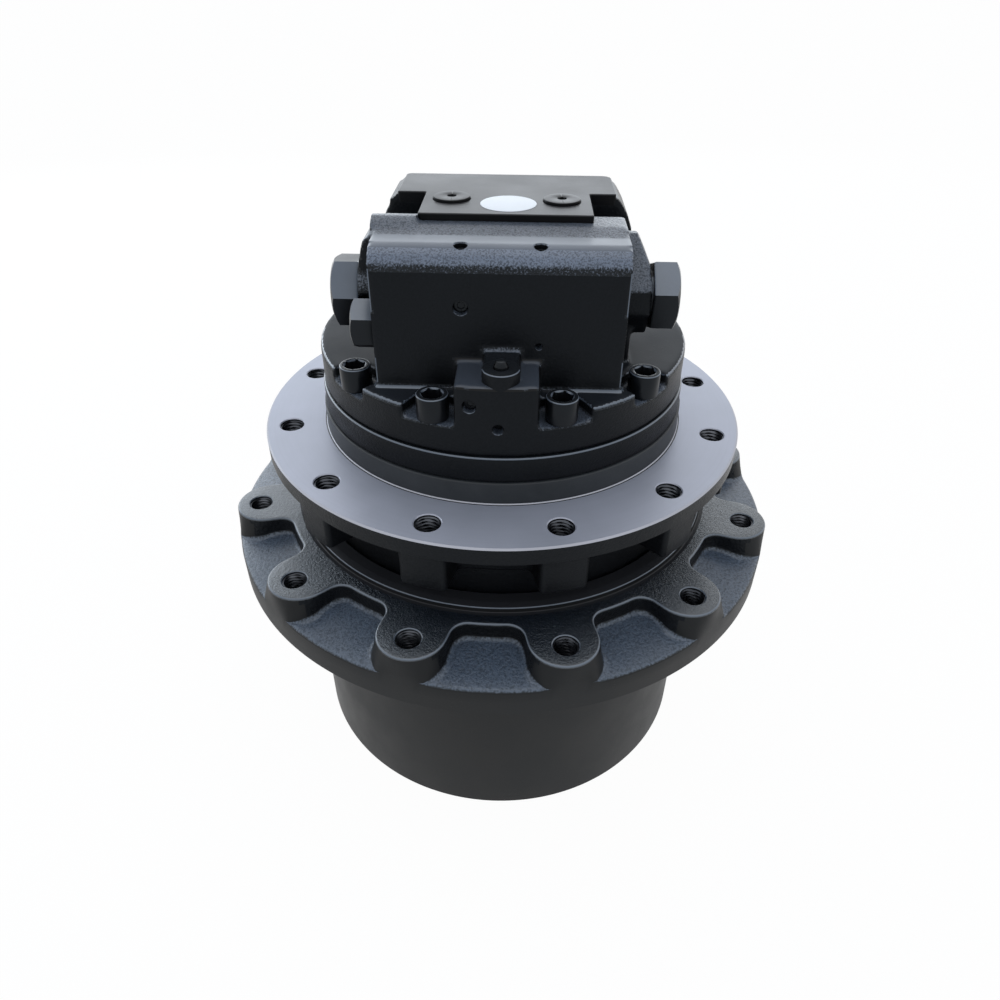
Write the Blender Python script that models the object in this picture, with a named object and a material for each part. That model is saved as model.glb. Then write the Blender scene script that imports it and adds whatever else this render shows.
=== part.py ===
"""Excavator final drive: a hydraulic travel motor on a two-stage planetary reduction.

The drive stands on its cover. Z is the axis of the hub, the planets and the motor, and
z = 0 is the outer face of the cover. -Y is the front, where the bolts and the block show.
Lengths are in metres and angles in degrees.
"""
from math import acos, atan2, cos, degrees, hypot, pi, radians, sin, sqrt, tan

import bmesh
import bpy
from mathutils import Matrix

# Running and seating clearances
SEAT_GAP = 0.0003
RUNNING_GAP = 0.0006

# Sides of the outer rings, of the inner coaxial rings, of shafts and of bolts and threads
RING_STEPS = 36
RING_TURN = 2.5
CORE_STEPS = 24
BORE_STEPS = 12
BOLT_STEPS = 8

# Frame flange and spindle
FLANGE_FACE_Z = 0.225
FLANGE_RADIUS = 0.140
FLANGE_THICKNESS = 0.0105
FRAME_HOLE_COUNT = 12
FRAME_HOLE_CIRCLE_RADIUS = 0.1255
FRAME_HOLE_TURN = 15.0
THREAD_M14_RADIUS = 0.0064
FRAME_HOLE_DEPTH = 0.026
BOSS_RADIUS = 0.0125
BOSS_REACH = 0.1370
BOSS_FOOT_BELOW_FACE = 0.033
BOSS_FILLET = 0.006
POCKET_WALL_RADIUS = 0.118
NECK_RADIUS = 0.105
NECK_HEIGHT = 0.0125
SKIRT_RADIUS = 0.1145
SKIRT_INNER_RADIUS = 0.1110
SKIRT_END_Z = 0.168
SPINDLE_SHOULDER_RADIUS = 0.0905
SPINDLE_BEARING_RADIUS = 0.0825
SPINDLE_END_Z = 0.100
SPINDLE_WEB = 0.012
SPINDLE_BORE_RADIUS = 0.072
SHAFT_HOLE_RADIUS = 0.032

# Hub, its sprocket flange and its lugs
DRUM_RADIUS = 0.128
RIM_RADIUS = 0.167
SPROCKET_SEAT_Z = 0.139
SEAT_FILLET = 0.003
LUG_TOP_Z = 0.171
LUG_COUNT = 12
LUG_CIRCLE_RADIUS = 0.1525
LUG_TURN = 14.0
LUG_HALF_WIDTH = 0.0185
LUG_TIP_CENTRE = 0.1505
PETAL_INNER_RADIUS = 0.1352
PETAL_FILLET = 0.009
PETAL_FLOOR_INNER_Z = 0.1605
PETAL_FLOOR_RIM_Z = 0.1570
COLLAR_RADIUS = 0.1265
COLLAR_BORE_RADIUS = 0.1160
COLLAR_TOP_Z = 0.1745
HUB_SHOULDER_RADIUS = 0.098

# Face seal
SEAL_INNER_RADIUS = 0.0925
SEAL_OUTER_RADIUS = 0.1095
SEAL_RING_HEIGHT = 0.0078
SEAL_FLOOR_LIFT = 0.0025

# Main bearings
BEARING_OUTER_RADIUS = 0.105
BEARING_WIDTH = 0.0217
LOWER_BEARING_Z = SPINDLE_END_Z + SEAT_GAP
BEARING_SPACING = 0.0297
RACE_THICKNESS = 0.0065
ROLLER_CLEARANCE = 0.0010
ROLLER_COUNT = 16
ROLLER_BULGE = 62.0

# Cover, its snap ring and its plugs
COVER_RADIUS = 0.118
COVER_BOSS_RADIUS = 0.108
COVER_BOSS_HEIGHT = 0.0045
COVER_TOP_Z = 0.014
COVER_DISH_RADIUS = 0.098
COVER_DISH_Z = 0.0115
SNAP_GROOVE_RADIUS = 0.121
SNAP_RING_THICKNESS = 0.0024
SNAP_RING_INNER_RADIUS = 0.1105
SNAP_RING_OPENING = 18.0
COVER_PLUG_CIRCLE = 0.078
COVER_PLUG_THREAD_RADIUS = 0.0098
COVER_PLUG_HEAD_RADIUS = 0.0140
COVER_PLUG_HEAD_HEIGHT = 0.0045
COVER_PLUG_SINK = 0.0010
COVER_PLUG_SOCKET_FLATS = 0.0100
COVER_PLUG_SOCKET_DEPTH = 0.0060

# Gears: stage one is the input stage beside the cover, stage two the output stage
GEAR_MODULE = 0.0035
PRESSURE_ANGLE = 20.0
BACKLASH = 0.00042
ADDENDUM = 0.86
DEDENDUM = 1.12
STRAIGHT_FLANK_TEETH = 12
RING_TEETH = 63
SUN_ONE_TEETH = 9
SUN_TWO_TEETH = 15
PLANET_COUNT = 3
RING_GEAR_END_Z = 0.090
STAGE_ONE_Z = 0.0168
STAGE_ONE_FACE = 0.0225
STAGE_TWO_Z = 0.0560
STAGE_TWO_FACE = 0.0300

# Planet carriers
PIN_ONE_RADIUS = 0.0135
PIN_TWO_RADIUS = 0.0170
WASHER_THICKNESS = 0.0018
WASHER_OVERHANG = 0.0070
CARRIER_ONE_THICKNESS = 0.0105
CARRIER_ONE_RADIUS = 0.0820
SUN_TWO_SHANK_RADIUS = 0.0195
QUILL_RADIUS = 0.0088
QUILL_BORE_RADIUS = 0.0125
CARRIER_TWO_THICKNESS = 0.0130
CARRIER_TWO_RADIUS = 0.0890
CARRIER_BOLT_RADIUS = 0.0060
CARRIER_BOLT_HEAD_RADIUS = 0.0090
CARRIER_BOLT_HEAD_HEIGHT = 0.0080
CARRIER_BOLT_CIRCLE = 0.0640
CARRIER_BOLT_SPREAD = 10.0
CARRIER_BOLT_DEPTH = 0.0100

# Motor case and shaft
CASE_FLANGE_RADIUS = 0.104
CASE_FLANGE_HEIGHT = 0.014
CASE_FLOOR = 0.008
CASE_BORE_RADIUS = 0.058
CASE_BRAKE_BORE_RADIUS = 0.062
BRAKE_SEAT_Z = 0.192
SHAFT_RADIUS = 0.015
SHAFT_FOOT_Z = 0.0985
SHAFT_SOCKET_DEPTH = 0.014
SHAFT_BEARING_HEIGHT = 0.0105
UPPER_BEARING_SEAT_RADIUS = 0.0260

# Swash plate
SWASH_AXIS_Z = 0.146
SWASH_ANGLE = 10.0
SWASH_RADIUS = 0.050
SWASH_THICKNESS = 0.009
SWASH_HOLE_RADIUS = 0.0195
JOURNAL_RADIUS = 0.022
JOURNAL_WIDTH = 0.018
JOURNAL_OFFSET = 0.034
CRADLE_TOP_Z = 0.129
CRADLE_HALF_DEPTH = 0.022
SPEED_PISTON_RADIUS = 0.007
SPEED_PISTON_Y = 0.038
SPEED_PISTON_FOOT_Z = 0.1170

# Rotating group
PISTON_COUNT = 7
PISTON_RADIUS = 0.0075
PISTON_CIRCLE = 0.034
PISTON_TOP_Z = 0.215
SHOE_RADIUS = 0.0085
SHOE_Z = 0.1555
SHOE_FLANGE = 0.0022
SHOE_NECK_RADIUS = 0.0062
PISTON_NECK_RADIUS = 0.0040
RETAINER_BUSHING_RADIUS = 0.0220
SHOE_TOP_Z = 0.1660
RETAINER_RADIUS = 0.0440
RETAINER_THICKNESS = 0.0024
BARREL_RADIUS = 0.0465
BARREL_Z = 0.178
BARREL_TOP_Z = 0.240
VALVE_PLATE_THICKNESS = 0.0040
VALVE_PLATE_RADIUS = 0.0440
KIDNEY_HALF_WIDTH = 0.0036
KIDNEY_HALF_ANGLE = 62.0

# Parking brake
BRAKE_PLATE_THICKNESS = 0.0028
BRAKE_DISC_OUTER_RADIUS = 0.0570
BRAKE_PISTON_HEIGHT = 0.0180
BRAKE_PISTON_STROKE = 0.0012

# Valve block: flange, bolts and lobes
BLOCK_FLANGE_RADIUS = 0.103
BLOCK_FLANGE_TOP_ABOVE = 0.0490
BOLT_SEAT_ABOVE = 0.0420
BOLT_CIRCLE = 0.0965
BOLT_ANGLES = (-139.2, -108.7, -71.3, -40.8, 40.8, 71.3, 108.7, 139.2)
BOLT_RADIUS = 0.0050
BOLT_HEAD_RADIUS = 0.0079
BOLT_HEAD_HEIGHT = 0.0125
BOLT_SOCKET_FLATS = 0.0080
BOLT_SOCKET_DEPTH = 0.0060
BOLT_THREAD_DEPTH = 0.0140
POCKET_HALF_ANGLE = 7.6
POCKET_BACK_RADIUS = 0.0860
TAB_HALF_WIDTH = 0.0200
TAB_TOP_ABOVE = 0.0640
TAB_BACK_Y = -0.060
SPIGOT_DEPTH = 0.0068

# Valve block: cast body
BODY_HALF_WIDTH = 0.0600
BODY_FRONT_Y = -0.0765
BODY_REAR_Y = 0.0480
BODY_DRAFT = 0.0015
LEDGE_ABOVE = 0.1170
LEDGE_FRONT_Y = -0.0660
LEDGE_REAR_Y = -0.0480
FRONT_ROUND_RADIUS = 0.0110
BODY_TOP_ABOVE = 0.1190
SLAB_TOP_ABOVE = 0.1225
SLAB_FRONT_Y = -0.0378
SLAB_STEP_Y = 0.0004
SLAB_REAR_Y = 0.0385
SLAB_TONGUE_LEFT = -0.0405
SLAB_TONGUE_RIGHT = 0.0440
SLAB_LEFT = -0.0555
SLAB_RIGHT = 0.0578
NOTCH_FLOOR_ABOVE = 0.1080
NOTCH_FRONT_Y = -0.0250
CAST_BOSS_RADIUS = 0.0090
CAST_BOSS_TOP_ABOVE = 0.1200
CAST_BOSS_Y = -0.0400
CAP_RECESS_HALF_WIDTH = 0.0225
CAP_RECESS_TOP_ABOVE = 0.0668
CAP_RECESS_DEPTH = 0.0120

# Counterbalance valve across the block
SPOOL_Y = -0.0340
SPOOL_ABOVE = 0.0825
SPOOL_RADIUS = 0.0105
SPOOL_LENGTH = 0.0700
SPOOL_STROKE = 0.0060
SPOOL_GROOVE_RADIUS = 0.0078
SPOOL_BOSS_RADIUS = 0.0215
SHOULDER_TOP_ABOVE = 0.1150
SHOULDER_FRONT_Y = -0.0480
SHOULDER_REAR_Y = -0.0160
SHOULDER_SLOPE = 0.0150
SPOOL_BOSS_LEFT = 0.0700
SPOOL_BOSS_RIGHT = 0.0750
CAP_FLATS = 0.0320
CAP_TURN_LEFT = 37.0
CAP_TURN_RIGHT = 9.0
CAP_THREAD_RADIUS = 0.0125
CAP_THREAD_LENGTH = 0.0180
CAP_HEAD_LEFT = 0.0145
CAP_HEAD_RIGHT = 0.0132
CAP_HOLLOW_RADIUS = 0.0093
CAP_END_WALL = 0.0100
SPRING_RADIUS = 0.0073
SPRING_WIRE_RADIUS = 0.0011
SPRING_TURNS = 5
SPRING_TURN_STEPS = 6

# Ports, plugs and caps of the block
MAIN_PORT_RADIUS = 0.0165
MAIN_PORT_DEPTH = 0.0200
MAIN_PORT_X = 0.0270
MAIN_PORT_ABOVE = 0.0900
DRAIN_PORT_RADIUS = 0.0105
DRAIN_PORT_ABOVE = 0.0640
SLAB_PLUG_PLACES = ((-0.0262, -0.0112), (0.0293, -0.0133))
SLAB_PLUG_RADIUS = 0.0092
SLAB_PLUG_SINK_RADIUS = 0.0106
SLAB_PLUG_SINK = 0.0040
SLAB_PLUG_SOCKET_FLATS = 0.0060
SLAB_PLUG_SOCKET_DEPTH = 0.0025
LEDGE_PLUG_X = 0.0180
LEDGE_PLUG_Y = -0.0590
SMALL_PLUG_RADIUS = 0.0042
SMALL_PLUG_SINK = 0.0015
CHECK_CAP_Y = -0.0600
CHECK_CAP_ABOVE = 0.0755
CHECK_CAP_FLATS = 0.0220
CHECK_CAP_REACH = 0.0695
CHECK_CAP_SPOTFACE_RADIUS = 0.0132
PILOT_CAP_X = 0.0014
PILOT_CAP_Y = -0.0840
PILOT_CAP_RADIUS = 0.0100
PILOT_CAP_TOP_ABOVE = 0.0690
PILOT_CAP_FOOT_ABOVE = 0.0500

# Finishes: colour, roughness and metallic value
PAINT_BLACK = ((0.012, 0.013, 0.015, 1.0), 0.42, 0.25)
PAINT_GREY = ((0.035, 0.037, 0.042, 1.0), 0.45, 0.25)
GROUND_STEEL = ((0.520, 0.520, 0.530, 1.0), 0.22, 1.0)
DARK_STEEL = ((0.150, 0.150, 0.160, 1.0), 0.38, 1.0)
SPRING_STEEL = ((0.230, 0.230, 0.240, 1.0), 0.30, 1.0)
BRONZE = ((0.480, 0.300, 0.130, 1.0), 0.32, 1.0)
FRICTION = ((0.090, 0.070, 0.055, 1.0), 0.85, 0.0)

# Heights and radii that follow from the sizes above
NECK_TOP_Z = FLANGE_FACE_Z + NECK_HEIGHT
CASE_TOP_Z = NECK_TOP_Z + CASE_FLANGE_HEIGHT
BLOCK_FOOT_Z = CASE_TOP_Z + SEAT_GAP
UPPER_BEARING_Z = LOWER_BEARING_Z + BEARING_SPACING
SPINDLE_WEB_TOP_Z = SPINDLE_END_Z + SPINDLE_WEB
CARRIER_TWO_Z = SPINDLE_END_Z - SEAT_GAP - CARRIER_TWO_THICKNESS
CASE_FOOT_Z = SPINDLE_WEB_TOP_Z + SEAT_GAP
CASE_FLOOR_Z = CASE_FOOT_Z + CASE_FLOOR
CARRIER_ONE_Z = STAGE_ONE_Z + STAGE_ONE_FACE + RUNNING_GAP
PLANET_ONE_TEETH = (RING_TEETH - SUN_ONE_TEETH) // 2
PLANET_TWO_TEETH = (RING_TEETH - SUN_TWO_TEETH) // 2


def above(height):
    """Height in the part of a place given above the frame flange's face."""
    return FLANGE_FACE_Z + height


def polar(radius, angle):
    """Point at a radius and an angle in degrees."""
    return radius * cos(radians(angle)), radius * sin(radians(angle))


def circle(radius, steps, centre=(0.0, 0.0), turn=0.0):
    """Points of a full circle."""
    points = []
    for step in range(steps):
        x, y = polar(radius, turn + 360.0 * step / steps)
        points.append((centre[0] + x, centre[1] + y))
    return points


def arc(centre, radius, start, end, steps):
    """Points of an arc from one angle to another, both ends included."""
    points = []
    for step in range(steps + 1):
        x, y = polar(radius, start + (end - start) * step / steps)
        points.append((centre[0] + x, centre[1] + y))
    return points


def hexagon(across_flats, centre=(0.0, 0.0), turn=0.0):
    """Corners of a hexagon; turn 0 puts a corner on the first axis."""
    return circle(across_flats / sqrt(3.0), 6, centre, turn)


def clear_scene():
    """Remove whatever the scene holds."""
    for item in list(bpy.data.objects):
        bpy.data.objects.remove(item, do_unlink=True)


def finish_of(name, finish):
    """Principled material with a piece's own colour, roughness and metallic value."""
    colour, roughness, metallic = finish
    material = bpy.data.materials.new(name)
    material.use_nodes = True
    shader = material.node_tree.nodes["Principled BSDF"]
    shader.inputs["Base Color"].default_value = colour
    shader.inputs["Roughness"].default_value = roughness
    shader.inputs["Metallic"].default_value = metallic
    material.diffuse_color = colour
    return material


def object_from(name, shape, finish=None):
    """Object made from a bmesh; without a finish it is a cutter or a building block."""
    bmesh.ops.recalc_face_normals(shape, faces=shape.faces)
    mesh = bpy.data.meshes.new(name)
    shape.to_mesh(mesh)
    shape.free()
    mesh.shade_smooth()
    mesh.set_sharp_from_angle(angle=radians(32.0))
    item = bpy.data.objects.new(name, mesh)
    bpy.context.scene.collection.objects.link(item)
    if finish is None:
        item.hide_render = True
        item.display_type = "WIRE"
    else:
        mesh.materials.append(finish_of(name, finish))
    return item


def spin_profile(shape, profile, steps):
    """Spin a closed (radius, z) profile a full turn about Z into the bmesh."""
    corners = [shape.verts.new((radius, 0.0, z)) for radius, z in profile]
    edges = [shape.edges.new((corners[i - 1], corners[i])) for i in range(len(corners))]
    bmesh.ops.spin(shape, geom=corners + edges, cent=(0, 0, 0), axis=(0, 0, 1),
                   angle=2.0 * pi, steps=steps, use_merge=True)
    bmesh.ops.remove_doubles(shape, verts=shape.verts, dist=1e-6)
    flat = [face for face in shape.faces if face.calc_area() < 1e-12]
    bmesh.ops.delete(shape, geom=flat, context="FACES_ONLY")
    loose = [edge for edge in shape.edges if not edge.link_faces]
    bmesh.ops.delete(shape, geom=loose, context="EDGES")


def turned(name, profile, finish=None, steps=RING_STEPS):
    """Turned piece: a closed (radius, z) profile spun about Z.

    The outer rings are turned a little, so that their corners miss those of the bores.
    """
    shape = bmesh.new()
    spin_profile(shape, profile, steps)
    if steps == RING_STEPS:
        bmesh.ops.rotate(shape, verts=shape.verts, matrix=Matrix.Rotation(radians(RING_TURN), 3, "Z"))
    return object_from(name, shape, finish)


def extrude_outlines(shape, outlines, low, high):
    """Flat face with holes, from closed outlines, drawn up from low to high."""
    edges = []
    for outline in outlines:
        corners = [shape.verts.new((x, y, low)) for x, y in outline]
        edges += [shape.edges.new((corners[i - 1], corners[i])) for i in range(len(corners))]
    filled = bmesh.ops.triangle_fill(shape, edges=edges, use_beauty=True, use_dissolve=False,
                                     normal=(0, 0, 1))
    faces = [part for part in filled["geom"] if isinstance(part, bmesh.types.BMFace)]
    raised = bmesh.ops.extrude_face_region(shape, geom=faces)
    corners = [part for part in raised["geom"] if isinstance(part, bmesh.types.BMVert)]
    bmesh.ops.translate(shape, verts=corners, vec=(0, 0, high - low))


def extruded(name, groups, finish=None):
    """Straight solids: each group is (outlines, low, high), the first outline the outside."""
    whole = bmesh.new()
    for outlines, low, high in groups:
        shape = bmesh.new()
        extrude_outlines(shape, outlines, low, high)
        bmesh.ops.recalc_face_normals(shape, faces=shape.faces)
        append(whole, shape)
    return object_from(name, whole, finish)


def append(whole, shape, matrix=None):
    """Copy one bmesh into another, moved by a matrix, and free it."""
    if matrix is not None:
        bmesh.ops.transform(shape, matrix=matrix, verts=shape.verts)
    twin = {corner: whole.verts.new(corner.co) for corner in shape.verts}
    for face in shape.faces:
        whole.faces.new([twin[corner] for corner in face.verts])
    shape.free()


def repeated(name, make, matrices, finish=None):
    """Like shapes at several places in one tool, which a Boolean then cuts or joins."""
    whole = bmesh.new()
    for matrix in matrices:
        shape = bmesh.new()
        make(shape)
        bmesh.ops.recalc_face_normals(shape, faces=shape.faces)
        append(whole, shape, matrix)
    return object_from(name, whole, finish)


def copies(names, master, matrices):
    """Place the master at the first matrix and objects that share its mesh at the others."""
    for name, matrix in zip(names, matrices):
        item = master
        if name != master.name:
            item = bpy.data.objects.new(name, master.data)
            bpy.context.scene.collection.objects.link(item)
        item.matrix_world = matrix


def add_socket(shape, top, flats, depth):
    """Sink a hexagon socket into the flat top of a turned shape that is drawn along Z."""
    bmesh.ops.delete(shape, geom=[v for v in shape.verts if abs(v.co.z - top) < 1e-6
                                  and hypot(v.co.x, v.co.y) < 1e-6], context="VERTS")
    rim = [edge for edge in shape.edges if edge.is_boundary]
    corners = [shape.verts.new((x, y, top)) for x, y in hexagon(flats)]
    sides = [shape.edges.new((corners[i - 1], corners[i])) for i in range(6)]
    bmesh.ops.triangle_fill(shape, edges=rim + sides, use_beauty=True, use_dissolve=False,
                            normal=(0, 0, 1))
    sunk = bmesh.ops.extrude_edge_only(shape, edges=sides)
    floor = [part for part in sunk["geom"] if isinstance(part, bmesh.types.BMVert)]
    bmesh.ops.translate(shape, verts=floor, vec=(0, 0, -depth))
    bmesh.ops.holes_fill(shape, edges=[edge for edge in shape.edges if edge.is_boundary], sides=6)


def socket_headed(name, profile, top, flats, depth, finish, steps=BOLT_STEPS):
    """Turned plug or bolt with a hexagon socket in its top."""
    shape = bmesh.new()
    spin_profile(shape, profile, steps)
    add_socket(shape, top, flats, depth)
    return object_from(name, shape, finish)


def place(item, location, rotation=(0.0, 0.0, 0.0)):
    """Put an object's origin at a place and turn it, in degrees."""
    item.location = location
    item.rotation_euler = [radians(angle) for angle in rotation]
    return item


def combine(target, operation, tools):
    """Boolean modifiers that cut or join the tools, which are kept as wire guides."""
    for tool in tools:
        step = target.modifiers.new(tool.name, "BOOLEAN")
        step.operation = operation
        step.solver = "EXACT"
        step.object = tool
        tool.hide_render = True
        tool.display_type = "WIRE"
        tool.parent = target
        tool.matrix_parent_inverse = Matrix.Identity(4)


def cut(target, *tools):
    combine(target, "DIFFERENCE", tools)


def join(target, *tools):
    combine(target, "UNION", tools)


def spread(radius, count, turn=0.0):
    """Matrices for copies about Z, each standing at the radius and turned to face out."""
    matrices = []
    for index in range(count):
        matrices.append(about_z(radius, turn + 360.0 * index / count))
    return matrices


def about_z(radius, angle):
    """Matrix of a place at a radius and an angle about Z."""
    return Matrix.Rotation(radians(angle), 4, "Z") @ Matrix.Translation((radius, 0, 0))


# Matrices that lay a piece drawn along Z down along X, along Y or towards the front
ALONG_X = Matrix.Rotation(radians(90.0), 4, "Y")
ALONG_MINUS_X = Matrix.Rotation(radians(-90.0), 4, "Y")
ALONG_Y = Matrix.Rotation(radians(-90.0), 4, "X")
ALONG_FRONT = Matrix.Rotation(radians(90.0), 4, "X")


def involute_half_angle(radius, pitch_radius, tooth_width):
    """Half the angle that a tooth fills at a radius, for an involute flank."""
    base = pitch_radius * cos(radians(PRESSURE_ANGLE))
    at_pitch = tan(radians(PRESSURE_ANGLE)) - radians(PRESSURE_ANGLE)
    slope = acos(base / max(radius, base))
    return tooth_width / (2.0 * pitch_radius) + at_pitch - (tan(slope) - slope)


def gear_outline(teeth, low_radius, high_radius, tooth_width, turn=0.0):
    """Outline of a gear whose first tooth points along turn, with involute flanks.

    The flanks of gears with many teeth are nearly straight and have their two ends only.
    """
    pitch_radius = teeth * GEAR_MODULE / 2.0
    radii = (low_radius, high_radius)
    if teeth < STRAIGHT_FLANK_TEETH:
        radii = (low_radius, (low_radius + high_radius) / 2.0, high_radius)
    halves = [involute_half_angle(radius, pitch_radius, tooth_width) for radius in radii]
    points = []
    for tooth in range(teeth):
        middle = turn + 360.0 * tooth / teeth
        for radius, half in zip(radii, halves):
            points.append(polar(radius, middle - degrees(half)))
        for radius, half in zip(reversed(radii), reversed(halves)):
            points.append(polar(radius, middle + degrees(half)))
    return points


def outer_gear(teeth, turn=0.0):
    """Outline of a sun or a planet."""
    pitch_radius = teeth * GEAR_MODULE / 2.0
    tooth_width = pi * GEAR_MODULE / 2.0 - BACKLASH
    return gear_outline(teeth, pitch_radius - DEDENDUM * GEAR_MODULE,
                        pitch_radius + ADDENDUM * GEAR_MODULE, tooth_width, turn)


def ring_spaces():
    """Outline of the hollow of the ring gear: its spaces are the teeth of this outline."""
    pitch_radius = RING_TEETH * GEAR_MODULE / 2.0
    space_width = pi * GEAR_MODULE / 2.0 + BACKLASH
    return gear_outline(RING_TEETH, pitch_radius - ADDENDUM * GEAR_MODULE,
                        pitch_radius + DEDENDUM * GEAR_MODULE, space_width)


def centre_distance(sun_teeth):
    """Distance from the axis to the planets that run between a sun and the ring."""
    return (sun_teeth + (RING_TEETH - sun_teeth) // 2) * GEAR_MODULE / 2.0


def boss_ring_outline():
    """Outline of the twelve boss columns and the pocket wall that joins them."""
    points = []
    pitch = 360.0 / FRAME_HOLE_COUNT
    flat = degrees(BOSS_RADIUS / POCKET_WALL_RADIUS)
    fillet = degrees(BOSS_FILLET / POCKET_WALL_RADIUS)
    reach = degrees(BOSS_RADIUS / BOSS_REACH)
    for index in range(FRAME_HOLE_COUNT):
        middle = FRAME_HOLE_TURN + pitch * index
        points.append(polar(POCKET_WALL_RADIUS, middle - flat - fillet))
        points.append(polar(POCKET_WALL_RADIUS + BOSS_FILLET, middle - flat))
        points.append(polar(BOSS_REACH, middle - reach))
        points.append(polar(BOSS_REACH, middle + reach))
        points.append(polar(POCKET_WALL_RADIUS + BOSS_FILLET, middle + flat))
        points.append(polar(POCKET_WALL_RADIUS, middle + flat + fillet))
    return points


def make_spindle():
    """Frame flange, neck, pocketed boss ring, seal skirt and bearing seat in one casting."""
    flange_low = FLANGE_FACE_Z - FLANGE_THICKNESS
    boss_foot = FLANGE_FACE_Z - BOSS_FOOT_BELOW_FACE
    seal_ceiling = UPPER_BEARING_Z + BEARING_WIDTH + 2.0 * SEAL_RING_HEIGHT + 7.0 * SEAT_GAP
    shoulder = UPPER_BEARING_Z + BEARING_WIDTH + SEAT_GAP
    body = turned("spindle", [
        (0.0, NECK_TOP_Z), (0.0, seal_ceiling), (SKIRT_INNER_RADIUS, seal_ceiling),
        (SKIRT_INNER_RADIUS, SKIRT_END_Z), (SKIRT_RADIUS, SKIRT_END_Z),
        (SKIRT_RADIUS, flange_low), (FLANGE_RADIUS, flange_low),
        (FLANGE_RADIUS, FLANGE_FACE_Z), (NECK_RADIUS, FLANGE_FACE_Z),
        (NECK_RADIUS, NECK_TOP_Z)], PAINT_BLACK)
    barrel = turned("bearing_seat", [
        (0.0, seal_ceiling + 0.002), (0.0, SPINDLE_END_Z), (SPINDLE_BEARING_RADIUS, SPINDLE_END_Z),
        (SPINDLE_BEARING_RADIUS, shoulder), (SPINDLE_SHOULDER_RADIUS, shoulder),
        (SPINDLE_SHOULDER_RADIUS, seal_ceiling + 0.002)], None, CORE_STEPS)
    bosses = extruded("boss_columns", [([boss_ring_outline()], boss_foot, flange_low + 0.001)])
    bore = turned("spindle_bore", [
        (0.0, SPINDLE_END_Z - 0.01), (SHAFT_HOLE_RADIUS, SPINDLE_END_Z - 0.01),
        (SHAFT_HOLE_RADIUS, SPINDLE_WEB_TOP_Z), (SPINDLE_BORE_RADIUS, SPINDLE_WEB_TOP_Z),
        (SPINDLE_BORE_RADIUS, NECK_TOP_Z + 0.01), (0.0, NECK_TOP_Z + 0.01)], None, CORE_STEPS)
    frame_holes = extruded("frame_holes", [
        ([circle(THREAD_M14_RADIUS, BOLT_STEPS, polar(FRAME_HOLE_CIRCLE_RADIUS, angle))],
         FLANGE_FACE_Z - FRAME_HOLE_DEPTH, FLANGE_FACE_Z + 0.005)
        for angle in frame_hole_angles()])
    block_bolt_holes = extruded("block_bolt_holes", [
        ([circle(BOLT_RADIUS + SEAT_GAP, BOLT_STEPS, polar(BOLT_CIRCLE, angle), angle)],
         NECK_TOP_Z - BOLT_THREAD_DEPTH - 0.001, NECK_TOP_Z + 0.005) for angle in BOLT_ANGLES])
    carrier_holes = extruded("carrier_bolt_holes", [
        ([circle(CARRIER_BOLT_RADIUS + SEAT_GAP, 6, polar(CARRIER_BOLT_CIRCLE, angle), angle)],
         SPINDLE_END_Z - 0.005, SPINDLE_END_Z + CARRIER_BOLT_DEPTH + 0.0005)
        for angle in carrier_bolt_angles()])
    join(body, barrel, bosses)
    cut(body, bore, frame_holes, block_bolt_holes, carrier_holes)
    return body


def frame_hole_angles():
    return [FRAME_HOLE_TURN + 360.0 * i / FRAME_HOLE_COUNT for i in range(FRAME_HOLE_COUNT)]


def lug_angles():
    return [LUG_TURN + 360.0 * i / LUG_COUNT for i in range(LUG_COUNT)]


def carrier_bolt_angles():
    """Two bolts in each space between the output planets."""
    angles = []
    for index in range(PLANET_COUNT):
        middle = (index + 0.5) * 360.0 / PLANET_COUNT
        angles += [middle - CARRIER_BOLT_SPREAD, middle + CARRIER_BOLT_SPREAD]
    return angles


def lug_half_width(radius):
    """Half the width of a sprocket lug: a round tip, straight sides and a flared root."""
    if radius >= LUG_TIP_CENTRE:
        return sqrt(max(LUG_HALF_WIDTH ** 2 - (radius - LUG_TIP_CENTRE) ** 2, 0.0))
    rise = PETAL_INNER_RADIUS + PETAL_FILLET - radius
    if rise <= 0.0:
        return LUG_HALF_WIDTH
    return LUG_HALF_WIDTH + PETAL_FILLET - sqrt(max(PETAL_FILLET ** 2 - rise ** 2, 0.0))


def petal_outline(middle):
    """Outline of one petal pocket between two lugs, open at the rim."""
    half_pitch = 180.0 / LUG_COUNT
    beyond = RIM_RADIUS + 0.004
    radii = [PETAL_INNER_RADIUS + PETAL_FILLET * share for share in (0.0, 0.3, 1.0)]
    radii += [LUG_TIP_CENTRE, LUG_TIP_CENTRE + 0.010, RIM_RADIUS]
    side = []
    for radius in radii:
        side.append((radius, half_pitch - degrees(lug_half_width(radius) / radius)))
    side.append((beyond, side[-1][1]))
    points = [polar(radius, middle + angle) for radius, angle in side]
    points += [polar(radius, middle - angle) for radius, angle in reversed(side)]
    return points


def fill_petal(shape, outline):
    """Cutter of one petal pocket, whose floor falls a little towards the rim."""
    extrude_outlines(shape, [outline], PETAL_FLOOR_RIM_Z, COLLAR_TOP_Z + 0.01)
    fall = (PETAL_FLOOR_INNER_Z - PETAL_FLOOR_RIM_Z) / (RIM_RADIUS - PETAL_INNER_RADIUS)
    for corner in shape.verts:
        if corner.co.z < PETAL_FLOOR_RIM_Z + 0.001:
            corner.co.z = PETAL_FLOOR_RIM_Z + fall * (RIM_RADIUS - hypot(corner.co.x, corner.co.y))


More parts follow.
